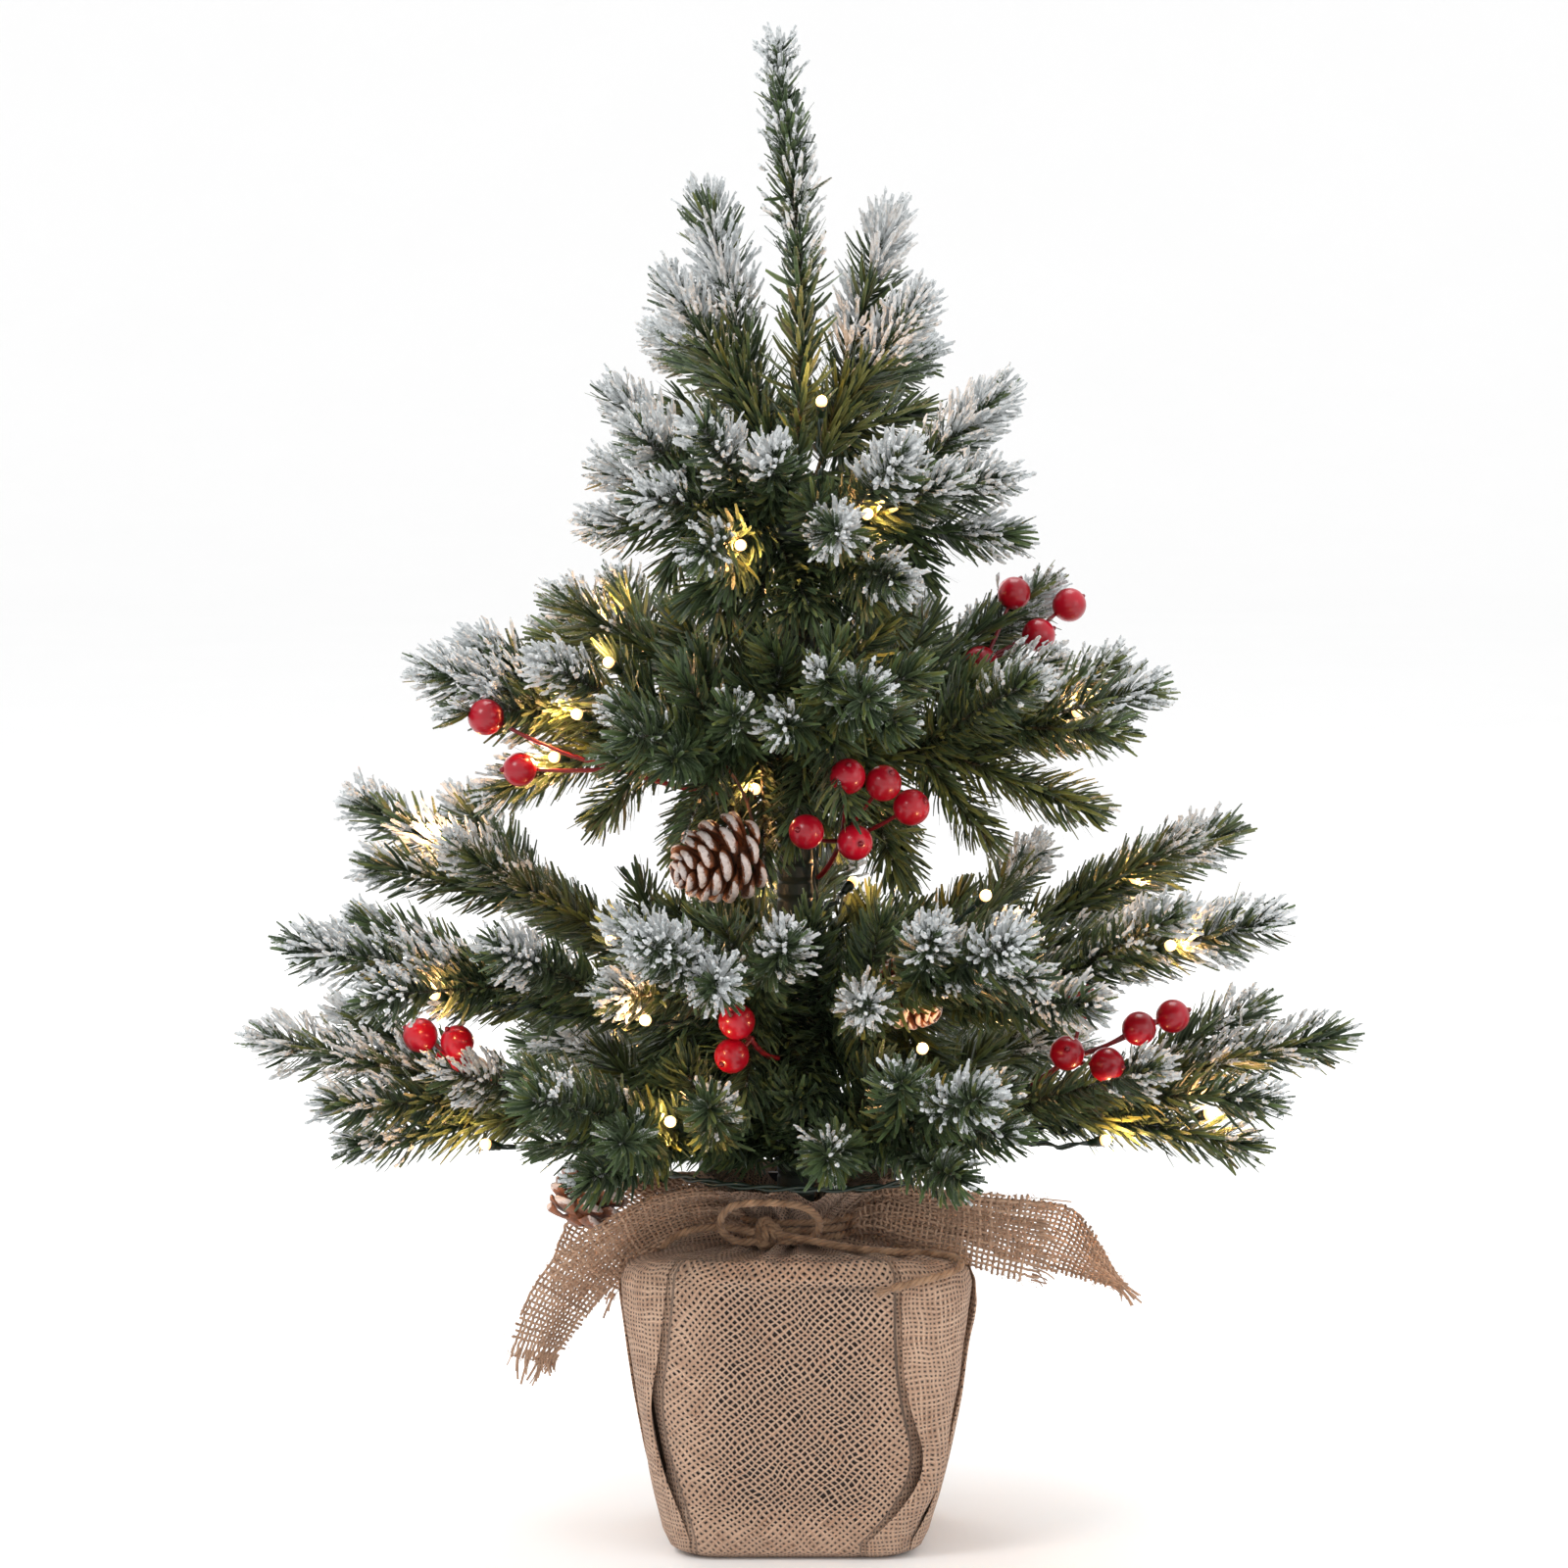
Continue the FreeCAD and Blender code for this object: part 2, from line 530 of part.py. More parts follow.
def battery_box():
    """Tray for two cells, a switch pocket at one end and rails for the sliding cover."""
    (x0, y0, z0), (x1, y1, z1) = BOX_LOW, BOX_HIGH
    w = BOX_WALL
    shell = box_between(BOX_LOW, BOX_HIGH)
    shell = shell.cut(box_between((PARTITION_X + w / 2, y0 + w, z0 + w), (x1 - w, y1 - w, z1 + 1)))
    shell = shell.cut(box_between((x0 + w, y0 + w, z0 + w), (PARTITION_X - w / 2, y1 - w, z1 + 1)))
    top = z1 + COVER_THICK + 2 * COVER_GAP
    for y_out, y_in in ((y0, y0 + RAIL), (y1, y1 - RAIL)):
        low_y, high_y = min(y_out, y_in), max(y_out, y_in)
        shell = shell.fuse(box_between((x0, low_y, z1 - 0.5), (x1, high_y, top + RAIL_LIP)))
        lip_y = y_in + (RAIL_LIP if y_in < (y0 + y1) / 2 else -RAIL_LIP)
        low_y, high_y = min(y_in, lip_y), max(y_in, lip_y)
        shell = shell.fuse(box_between((x0, low_y, top), (x1, high_y, top + RAIL_LIP)))
    stop = box_between((x0, y0 + RAIL, z1 - 0.5), (x0 + w, y1 - RAIL, top + RAIL_LIP))
    shell = shell.fuse(stop)
    sx0, sx1, sz0, sz1 = SLOT
    shell = shell.cut(box_between((sx0, y1 - w - 1, sz0), (sx1, y1 + 1, sz1)))
    exit_x, exit_y, exit_z = CABLE_ROUTE[0]
    way = Vector(*CABLE_ROUTE[1]) - Vector(*CABLE_ROUTE[0])
    hole = Part.makeCylinder(CABLE_R + 0.5, 16, Vector(exit_x, exit_y, exit_z), way)
    return shell.cut(hole).removeSplitter()


def battery_cover():
    """Flat cover held by the rails, with thumb ridges."""
    (x0, y0, _), (x1, y1, z1) = BOX_LOW, BOX_HIGH
    gap = COVER_GAP
    plate = box_between((x0 + BOX_WALL + gap, y0 + RAIL + gap, z1 + gap),
                        (x1, y1 - RAIL - gap, z1 + gap + COVER_THICK))
    ridges = []
    for n in range(5):
        x = x1 - 6 - n * 3
        ridges.append(box_between((x - 0.6, y0 + 9, z1 + gap + COVER_THICK - 0.1),
                                  (x + 0.6, y1 - 9, z1 + gap + COVER_THICK + 0.9)))
    return fuse([plate] + ridges)


def cell_axes():
    """Centre lines of the two cells, as (y, z), and where they start in x."""
    y_middle = (BOX_LOW[1] + BOX_HIGH[1]) / 2
    z = BOX_LOW[2] + BOX_WALL + CELL_R + 0.1
    return [(y_middle - CELL_R - 0.15, z), (y_middle + CELL_R + 0.15, z)], PARTITION_X + 6.0


def battery_cells():
    """Two AA cells, end for end."""
    axes, start = cell_axes()
    cells = []
    for n, (y, z) in enumerate(axes):
        body = Part.makeCylinder(CELL_R, CELL_LENGTH, Vector(start, y, z), Vector(1, 0, 0))
        nub_r, nub_length = CELL_NUB
        at, way = (start + CELL_LENGTH - 0.1, 1) if n == 0 else (start + 0.1, -1)
        nub = Part.makeCylinder(nub_r, nub_length + 0.1, Vector(at, y, z), Vector(way, 0, 0))
        cells.append(fuse([body, nub]))
    return Part.makeCompound(cells)


def battery_contacts():
    """A coil spring at the flat end of each cell and a plate at the other."""
    axes, start = cell_axes()
    inside_low = PARTITION_X + BOX_WALL / 2
    inside_high = BOX_HIGH[0] - BOX_WALL
    pieces = []
    for n, (y, z) in enumerate(axes):
        spring_end, plate_end = (inside_low, inside_high) if n == 0 else (inside_high, inside_low)
        inward = 1 if spring_end == inside_low else -1
        cell_flat = start if n == 0 else start + CELL_LENGTH
        for end, way in ((spring_end, inward), (plate_end, -inward)):
            low, high = sorted((end, end + way * 0.4))
            pieces.append(box_between((low, y - 5, z - 5), (high, y + 5, z + 5)))
        reach = abs(cell_flat - spring_end) - 0.6
        turns = 3
        pitch = (reach - 0.8) / turns
        coil = Part.makeHelix(pitch, reach - 0.8, 3.4)
        outline = Part.Wire([Part.makeCircle(0.35, Vector(3.4, 0, 0), Vector(0, 1, 0))])
        spring = Part.Wire(coil.Edges).makePipeShell([outline], True, True)
        turn = FreeCAD.Rotation(Vector(0, 0, 1), Vector(inward, 0, 0))
        at = spring_end + inward * 0.8
        spring.Placement = FreeCAD.Placement(Vector(at, y, z), turn)
        pieces.append(spring)
    return Part.makeCompound(pieces)


def switch_slider():
    """Sliding knob in the slot of the rear wall, with a foot behind the wall."""
    sx0, _, sz0, sz1 = SLOT
    y1 = BOX_HIGH[1]
    middle = (sz0 + sz1) / 2
    start = sx0 + 0.3
    knob = box_between((start, y1 - BOX_WALL - 0.6, sz0 + 0.3), (start + KNOB_WIDTH, y1 + 2.2, sz1 - 0.3))
    foot = box_between((start - 0.6, y1 - BOX_WALL - 2.2, middle - 3),
                       (start + KNOB_WIDTH + 0.6, y1 - BOX_WALL - 0.3, middle + 3))
    return fuse([knob, foot])


# ---------------------------------------------------------------- make every node
save("burlap_wrap", burlap_wrap())
save("pot_liner", pot_liner())
save("cement_weight", cement_weight())
save("twine_tie", twine_tie())
for name, route in TWINE_ROUTES.items():
    save(name, tube(route, TWINE_R, name, 3))
save("trunk_rod", trunk_rod())
save("trunk_tape", trunk_tape())
save("leader", leader())
for branch in BRANCHES:
    save(branch.name, branch_brush(branch))
    if branch.name in LIGHTS:
        root, along, _, above = branch_frame(branch)
        lamps = light_group(root + along * 14 + above * 2, LIGHTS[branch.name])
        save("lights_" + branch.name, Part.makeCompound(lamps))
for name, (root, berries) in SPRAYS.items():
    save(name, berry_spray(root, berries))
for name, cone in CONES.items():
    save(name, pine_cone(*cone))
save("light_cable", tube(CABLE_ROUTE, CABLE_R, "light_cable", 7))
save("trunk_lights", trunk_lights())
save("battery_box", battery_box())
save("battery_cover", battery_cover())
save("battery_cells", battery_cells())
save("battery_contacts", battery_contacts())
save("switch_slider", switch_slider())
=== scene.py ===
"""Looks for the tabletop tree: needle brushes, burlap, twine, berries, cones and lights.

Everything is worked out in millimetres and made in metres on the CAD frame.
"""
import math
import bpy
import numpy as np
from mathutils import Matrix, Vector


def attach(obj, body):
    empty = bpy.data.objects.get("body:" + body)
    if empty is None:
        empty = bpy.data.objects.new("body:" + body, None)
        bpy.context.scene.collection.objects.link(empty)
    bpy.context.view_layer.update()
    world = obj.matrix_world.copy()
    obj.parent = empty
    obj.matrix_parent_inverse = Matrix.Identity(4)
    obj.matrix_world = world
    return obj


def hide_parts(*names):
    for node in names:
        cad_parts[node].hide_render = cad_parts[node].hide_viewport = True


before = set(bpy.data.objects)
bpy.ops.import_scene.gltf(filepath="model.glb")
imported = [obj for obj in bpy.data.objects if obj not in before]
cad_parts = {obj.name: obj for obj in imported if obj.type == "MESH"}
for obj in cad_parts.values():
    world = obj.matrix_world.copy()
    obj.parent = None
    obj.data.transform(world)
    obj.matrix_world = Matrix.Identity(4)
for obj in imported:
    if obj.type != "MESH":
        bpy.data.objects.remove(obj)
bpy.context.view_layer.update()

MM = 0.001
STEEP = 0.8                 # upright share of a direction from which a line counts as upright
scene = bpy.context.scene

# ------------------------------------------------------------------ layout, in mm
# Branches, sprays, cones and the cable route repeat part.py. Frost, yellow, most lamps and the
# narrower bow loop are only here.
HINGE_R = 8.9
GOLDEN_ANGLE = 2.39996      # between neighbours in a spiral, in radians
# share along the main wire, side turn, lift, share of its length
TWIGS = {
    "bottom": [(0.28, 32, 8, 0.44), (0.28, -32, -12, 0.44), (0.52, 24, -12, 0.36),
               (0.56, -22, 12, 0.34), (0.40, 4, -22, 0.42)],
    "lower": [(0.30, 30, 12, 0.44), (0.30, -30, -10, 0.42), (0.56, 22, -12, 0.34),
              (0.56, -22, 12, 0.32)],
    "lower_open": [(0.30, -30, -10, 0.42), (0.56, 22, 4, 0.34), (0.56, -22, 12, 0.32)],
    "middle": [(0.30, 30, 14, 0.50), (0.30, -30, -10, 0.50), (0.56, 20, -14, 0.38),
               (0.56, -20, 16, 0.36)],
    "middle_low": [(0.30, 30, 14, 0.50), (0.30, -30, -10, 0.50), (0.56, 20, -14, 0.38),
                   (0.56, -20, 16, 0.36), (0.34, -4, -36, 0.50)],
    "crown": [(0.22, 27, -4, 0.70), (0.22, -27, -24, 0.70), (0.20, 0, -46, 0.66)],
    "crown_back": [(0.25, 20, -6, 0.52), (0.30, -6, -46, 0.60)],
}
# name: twigs, azimuth, root height, rise, length, hand, frost, yellow
BRANCHES = {
    "bottom_branch_left": ("bottom", 181, 155, 13, 208, 1, 0.9, 0.1),
    "bottom_branch_front_left": ("bottom", 234, 155, 15, 165, 1, 0.55, 0.2),
    "bottom_branch_front": ("bottom", 294, 155, 16, 165, 1, 0.6, 0.2),
    "bottom_branch_right": ("bottom", 359, 155, 13, 212, -1, 0.75, 0.3),
    "bottom_branch_back_right": ("bottom", 55, 155, 14, 192, -1, 0.8, 0.2),
    "bottom_branch_back_left": ("bottom", 122, 155, 14, 192, 1, 0.8, 0.2),
    "lower_branch_left": ("lower", 198, 205, 12, 198, 1, 1.0, 0.1),
    "lower_branch_back_left": ("lower", 157, 207, 24, 204, 1, 0.9, 0.2),
    "lower_branch_front_left": ("lower", 250, 209, 18, 160, 1, 1.0, 0.1),
    "lower_branch_front_right": ("lower", 300, 207, 18, 160, 1, 0.9, 0.2),
    "lower_branch_right": ("lower_open", 341, 203, 16, 192, 1, 1.0, 0.3),
    "lower_branch_back_right": ("lower", 24, 205, 21, 200, 1, 0.7, 0.3),
    "lower_branch_back": ("lower", 90, 205, 18, 176, 1, 0.8, 0.2),
    "middle_branch_left": ("middle_low", 188, 317, 14, 140, 1, 1.0, 0.2),
    "middle_branch_back_left": ("middle", 138, 329, 20, 130, 1, 0.7, 0.3),
    "middle_branch_front_left": ("middle", 236, 317, 8, 106, 1, 0.5, 0.2),
    "middle_branch_front": ("middle", 284, 329, 10, 106, 1, 0.6, 0.5),
    "middle_branch_right": ("middle_low", 346, 309, 15, 138, -1, 0.7, 0.9),
    "middle_branch_back_right": ("middle", 42, 325, 20, 140, 1, 0.9, 0.3),
    "middle_branch_back": ("middle", 90, 317, 14, 122, -1, 0.8, 0.2),
    "crown_branch_left": ("crown", 184, 397, 45, 87, 1, 1.1, 0.1),
    "crown_branch_front_left": ("crown", 242, 399, 36, 84, 1, 1.1, 0.1),
    "crown_branch_front_right": ("crown", 300, 395, 30, 84, 1, 1.0, 0.2),
    "crown_branch_right": ("crown", 358, 397, 41, 94, 1, 1.1, 0.1),
    "crown_branch_back_right": ("crown_back", 50, 419, 66, 120, -1, 1.2, 0.1),
    "crown_branch_back_left": ("crown_back", 130, 419, 68, 128, 1, 1.2, 0.1),
}
LEADER = [(0, 0, 424), (3, 0, 480), (0, 0, 540), (-5, 0, 572), (-7, 0, 598)]
SPRAYS = {
    "berry_spray_middle_back_right": ("middle_branch_back_right", (58, 44, 344), [
        (90, 62, 378), (113, 66, 373), (100, 58, 361), (76, 52, 350), (91, 60, 325)]),
    "berry_spray_middle_left": ("middle_branch_left", (-16, -14, 300), [
        (-122, -34, 334), (-109, -30, 313)]),
    "berry_spray_trunk": ("base", (9, -9, 268), [
        (20, -62, 313), (34, -58, 310), (45, -52, 300), (4, -58, 291), (23, -50, 286)]),
    "berry_spray_lower_front_left": ("lower_branch_front_left", (-7, -50, 201), [
        (-31, -70, 229), (-23, -76, 219), (-25, -72, 205)]),
    "berry_spray_bottom_left": ("bottom_branch_left", (-112, -14, 184), [
        (-150, -14, 205), (-135, -18, 203), (-138, -12, 194)]),
    "berry_spray_bottom_right": ("bottom_branch_right", (86, -8, 182), [
        (115, -12, 218), (108, -22, 199), (137, -16, 208), (151, -9, 212), (124, -20, 194)]),
}
CONES = {
    "pine_cone_middle_front_left": ("middle_branch_front_left", (-30, -52, 279), 20, 40,
                                    (-28, -44, 316)),
    "pine_cone_bottom_left": ("bottom_branch_left", (-82, -6, 141), 18, 38, (-80, -4, 168)),
    "pine_cone_lower_front_right": ("lower_branch_front_right", (43, -54, 226), 15, 34,
                                    (36, -62, 222)),
    "pine_cone_lower_back": ("lower_branch_back", (14, 66, 196), 17, 38, (6, 62, 220)),
}
# Lamps on each branch. Those of a branch in CAD_LIGHTS stand for the CAD node lights_NAME.
LIGHTS = {
    "bottom_branch_front_left": [(-48, -80, 180)],
    "bottom_branch_right": [(122, -18, 163), (164, -8, 172)],
    "lower_branch_left": [(-140, -52, 226), (-72, -30, 244)],
    "lower_branch_back_left": [(-142, 50, 277)],
    "lower_branch_front_right": [(72, -84, 268)],
    "lower_branch_right": [(145, -52, 245)],
    "middle_branch_left": [(-73, -12, 353), (-85, -26, 334), (-94, -22, 317)],
    "middle_branch_front": [(21, -44, 341)],
    "lower_branch_back_right": [(138, 52, 259)],
    "lower_branch_front_left": [(-57, -96, 222)],
    "bottom_branch_front": [(48, -86, 209)],
    "bottom_branch_left": [(-122, -22, 162)],
    "middle_branch_right": [(110, -14, 334)],
    "crown_branch_front_right": [(27, -34, 413)],
    "crown_branch_front_left": [(-21, -42, 402)],
    "lower_branch_back": [(-16, 120, 240)],
    "middle_branch_back": [(20, 84, 344)],
    "middle_branch_back_left": [(-70, 64, 366)],
    "bottom_branch_back_left": [(-70, 104, 196)],
    "bottom_branch_back_right": [(84, 118, 190)],
}
CAD_LIGHTS = ["bottom_branch_front_left", "bottom_branch_right", "lower_branch_left",
              "lower_branch_back_left", "lower_branch_front_right", "lower_branch_right",
              "middle_branch_left"]
TRUNK_LIGHTS = [(10, -24, 456), (-15, -22, 304), (-10, 26, 380), (22, 18, 262)]
CABLE_ROUTE = [
    (-33, 49, 130.3), (-46, 47, 132.5), (-56, 30, 140), (-58, 6, 147), (-51, -20, 150),
    (-34, -42, 150), (-10, -53, 149.5), (14, -55, 149.5), (36, -51, 150), (51, -38, 152),
    (46, -22, 153.5), (28, -17, 154), (12.5, -12, 159), (8.4, -7, 172), (8.05, -6.75, 190),
    (8.05, -6.75, 196)]
CABLE_TOP = 392
# The bow loop leaves part.py's tube by up to 5.3 mm, to be as narrow as in the photograph.
TWINE_ROUTES = {
    "twine_bow_loop": [
        (-13, -31, 125), (-22, -33, 124), (-29.5, -37.5, 129), (-30, -44, 137.5),
        (-23, -48, 143.5), (1, -48, 143), (9.5, -44, 137), (9.5, -37, 129.5),
        (3.5, -33.5, 124.5), (-7, -31, 125)],
    "twine_tail_left": [(-15, -30, 128), (-27, -33, 131), (-38, -35, 131), (-48, -35, 128),
                        (-54, -34, 122.9)],
    "twine_tail_right": [
        (-8, -32, 128), (8, -39, 126), (26, -44, 123.6), (42, -46, 123.1), (56, -48, 123),
        (65, -57, 122.2), (64, -68.5, 120.5), (53, -74.5, 118), (37, -74.5, 114)],
}
# Free corners of the cloth: direction, start, upper edge and lower edge as (distance out, height).
FLAPS = {
    "burlap_flap_left": (206, (-22, -20), [(0, 141), (14, 146), (33, 147), (55, 142), (79, 127),
                                           (92, 109), (100, 85)],
                         [(0, 128), (14, 130), (38, 124), (58, 107), (68, 94), (78, 80)]),
    "burlap_flap_right": (-22, (24, -20), [(0, 140), (10, 145), (30, 146), (50, 146), (66, 145),
                                           (78, 144)],
                          [(0, 126), (10, 127), (24, 122), (44, 120), (60, 116), (78, 112)]),
    "burlap_flap_right_rear": (9, (26, 14), [(0, 138), (14, 140), (45, 134), (74, 130), (90, 127),
                                             (100, 116), (110, 97)],
                               [(0, 128), (14, 128), (36, 121), (58, 110), (80, 103), (108, 94)]),
    "burlap_flap_left_rear": (151, (-24, 18), [(0, 139), (14, 143), (40, 141), (60, 134),
                                               (74, 122), (90, 94)],
                              [(0, 128), (12, 129), (30, 120), (44, 106), (54, 95), (62, 86)]),
}


# ------------------------------------------------------------------ numbers
def arr(values):
    return np.array(values, dtype=float)


def unit(v):
    return v / np.maximum(np.linalg.norm(v, axis=-1, keepdims=True), 1e-9)


def smooth(low, high, x):
    t = np.clip((x - low) / (high - low), 0, 1)
    return t * t * (3 - 2 * t)


def ripple(x, seed, count=5, low=1.0, high=6.0):
    """A smooth irregular wave of x, about -1 to 1."""
    rng = np.random.default_rng(seed)
    total = 0
    for _ in range(count):
        total = total + np.sin(x * rng.uniform(low, high) + rng.uniform(0, 6.283)) / count ** 0.5
    return total


def along_curve(points, shares):
    """Points of a polyline at given shares of its length."""
    points = arr(points)
    steps = np.linalg.norm(np.diff(points, axis=0), axis=1)
    reach = np.concatenate([[0], np.cumsum(steps)]) / steps.sum()
    return np.stack([np.interp(shares, reach, points[:, i]) for i in range(points.shape[1])], -1)


def rounded(points, count, passes=3):
    """A smooth line through the neighbourhood of a few points, evenly spaced."""
    line = arr(points)
    for _ in range(passes):
        cut = [line[:1]]
        cut.append(np.stack([line[:-1] * 0.75 + line[1:] * 0.25,
                             line[:-1] * 0.25 + line[1:] * 0.75], 1).reshape(-1, line.shape[1]))
        cut.append(line[-1:])
        line = np.concatenate(cut)
    return along_curve(line, np.linspace(0, 1, count))


# ------------------------------------------------------------------ mesh building, in mm
class Builder:
    """Gathers points, faces and per-point values, then makes one object in metres."""

    def __init__(self):
        self.points, self.faces, self.values, self.count = [], [], {}, 0

    def add(self, points, faces, **values):
        points = np.asarray(points, dtype=float).reshape(-1, 3)
        self.points.append(points)
        for f in faces:
            if len(f):
                self.faces.append(np.asarray(f) + self.count)
        for key, value in values.items():
            value = np.broadcast_to(np.asarray(value, dtype=float), np.shape(value) or (1,))
            if key == "tint":
                value = np.broadcast_to(value, (len(points), 3))
            else:
                value = np.broadcast_to(value.reshape(-1) if value.size > 1 else value,
                                        (len(points),))
            self.values.setdefault(key, []).append((self.count, value))
        self.count += len(points)

    def object(self, name, materials, smooth_faces=True):
        mesh = bpy.data.meshes.new(name)
        points = np.concatenate(self.points) * MM
        loops = np.concatenate([f.reshape(-1) for f in self.faces])
        sizes = np.concatenate([np.full(len(f), f.shape[1]) for f in self.faces])
        mesh.vertices.add(len(points))
        mesh.vertices.foreach_set("co", points.reshape(-1).astype(np.float32))
        mesh.loops.add(len(loops))
        mesh.loops.foreach_set("vertex_index", loops.astype(np.int32))
        mesh.polygons.add(len(sizes))
        starts = np.concatenate([[0], np.cumsum(sizes)[:-1]])
        mesh.polygons.foreach_set("loop_start", starts.astype(np.int32))
        mesh.update(calc_edges=True)
        mesh.validate()
        for key, parts in self.values.items():
            if key == "tint":
                data = np.ones((len(points), 4), dtype=np.float32)
                for at, value in parts:
                    data[at:at + len(value), :3] = value
                layer = mesh.attributes.new(key, "FLOAT_COLOR", "POINT")
                layer.data.foreach_set("color", data.reshape(-1))
            else:
                data = np.zeros(len(points), dtype=np.float32)
                for at, value in parts:
                    data[at:at + len(value)] = value
                mesh.attributes.new(key, "FLOAT", "POINT").data.foreach_set("value", data)
        mesh.polygons.foreach_set("use_smooth", np.full(len(sizes), smooth_faces))
        for material in materials:
            mesh.materials.append(material)
        piece = bpy.data.objects.new(name, mesh)
        scene.collection.objects.link(piece)
        return piece


def ring_quads(rows, columns):
    """Faces between closed rings of points, one ring a row."""
    i = np.arange(rows - 1)[:, None] * columns
    j = np.arange(columns)[None, :]
    m = (j + 1) % columns
    return np.stack([i + j, i + m, i + columns + m, i + columns + j], -1).reshape(-1, 4)


def crosswise(tangent, steep):
    """Two directions square to each tangent. steep says where a line runs nearly upright."""
    side = unit(np.cross(tangent, np.where(steep, arr([1.0, 0, 0]), arr([0, 0, 1.0]))))
    return side, np.cross(side, tangent)


def arc(start, knee, end, t):
    """A bend from start to end that leans towards knee."""
    return start * (1 - t) ** 2 + knee * 2 * t * (1 - t) + end * t ** 2


def strips(lines, sides, widths):
    """Flat ribbons: lines and sides are (n, k, 3), widths (n, k). Returns points and faces."""
    n, k, _ = lines.shape
    half = sides * widths[..., None] * 0.5
    points = np.stack([lines - half, lines + half], axis=2)
    base = np.arange(n)[:, None] * (2 * k) + np.arange(k - 1)[None, :] * 2
    quads = np.stack([base, base + 1, base + 3, base + 2], -1).reshape(-1, 4)
    return points.reshape(-1, 3), quads


def tubes(lines, radii, sides=6, turn=0.0, oval=1.0):
    """Capped tubes along lines (n, k, 3) with radii (n, k) or a number."""
    lines = np.asarray(lines, dtype=float)
    n, k, _ = lines.shape
    radii = np.broadcast_to(radii, (n, k))
    tangent = unit(np.gradient(lines, axis=1))
    side, up = crosswise(tangent, np.abs(tangent[:, :1, 2:3]) > STEEP)
    angle = 2 * np.pi * np.arange(sides) / sides
    turn = np.broadcast_to(turn, (n, k))
    ring = []
    for a in angle:
        c = np.cos(a)[None, None] * np.ones((n, k))
        s = np.sin(a)[None, None] * oval * np.ones((n, k))
        x = c * np.cos(turn) - s * np.sin(turn)
        y = c * np.sin(turn) + s * np.cos(turn)
        ring.append(lines + (side * x[..., None] + up * y[..., None]) * radii[..., None])
    points = np.stack(ring, axis=2)
    tube = np.arange(n)[:, None] * k
    quads = (ring_quads(k, sides)[None] + (tube * sides)[..., None]).reshape(-1, 4)
    first = tube * sides + np.arange(sides)[None, ::-1]
    last = (tube + k - 1) * sides + np.arange(sides)[None, :]
    return points.reshape(-1, 3), [quads, first, last]


def ball(centre, radius, across, up, along=(0, 0, 1), dimple=0.0):
    """A round body with poles on a given axis."""
    along = unit(arr(along))
    side = unit(np.cross(along, arr([0.31, 0.87, 0.2])))
    other = np.cross(along, side)
    points = [arr(centre) - along * radius]
    for i in range(1, up):
        lift = -math.pi / 2 + math.pi * i / up
        for j in range(across):
            turn = 2 * math.pi * j / across
            height = math.sin(lift) - dimple * max(0, math.sin(lift) - 0.9)
            points.append(arr(centre) + (side * math.cos(turn) + other * math.sin(turn))
                          * radius * math.cos(lift) + along * radius * height)
    points.append(arr(centre) + along * radius * (1 - dimple * 0.4))
    quads, tris = [], []
    for i in range(up - 2):
        for j in range(across):
            a, b = 1 + i * across + j, 1 + i * across + (j + 1) % across
            quads.append((a, b, b + across, a + across))
    last = len(points) - 1
    for j in range(across):
        tris.append((0, 1 + (j + 1) % across, 1 + j))
        tris.append((last, last - across + j, last - across + (j + 1) % across))
    return arr(points), [arr(quads).astype(int), arr(tris).astype(int)]


# ------------------------------------------------------------------ materials
def srgb(r, g, b):
    """Linear colour from 0 to 255 screen values."""
    return tuple(((c / 255 + 0.055) / 1.055) ** 2.4 if c > 10 else c / 255 / 12.92 for c in (r, g, b))


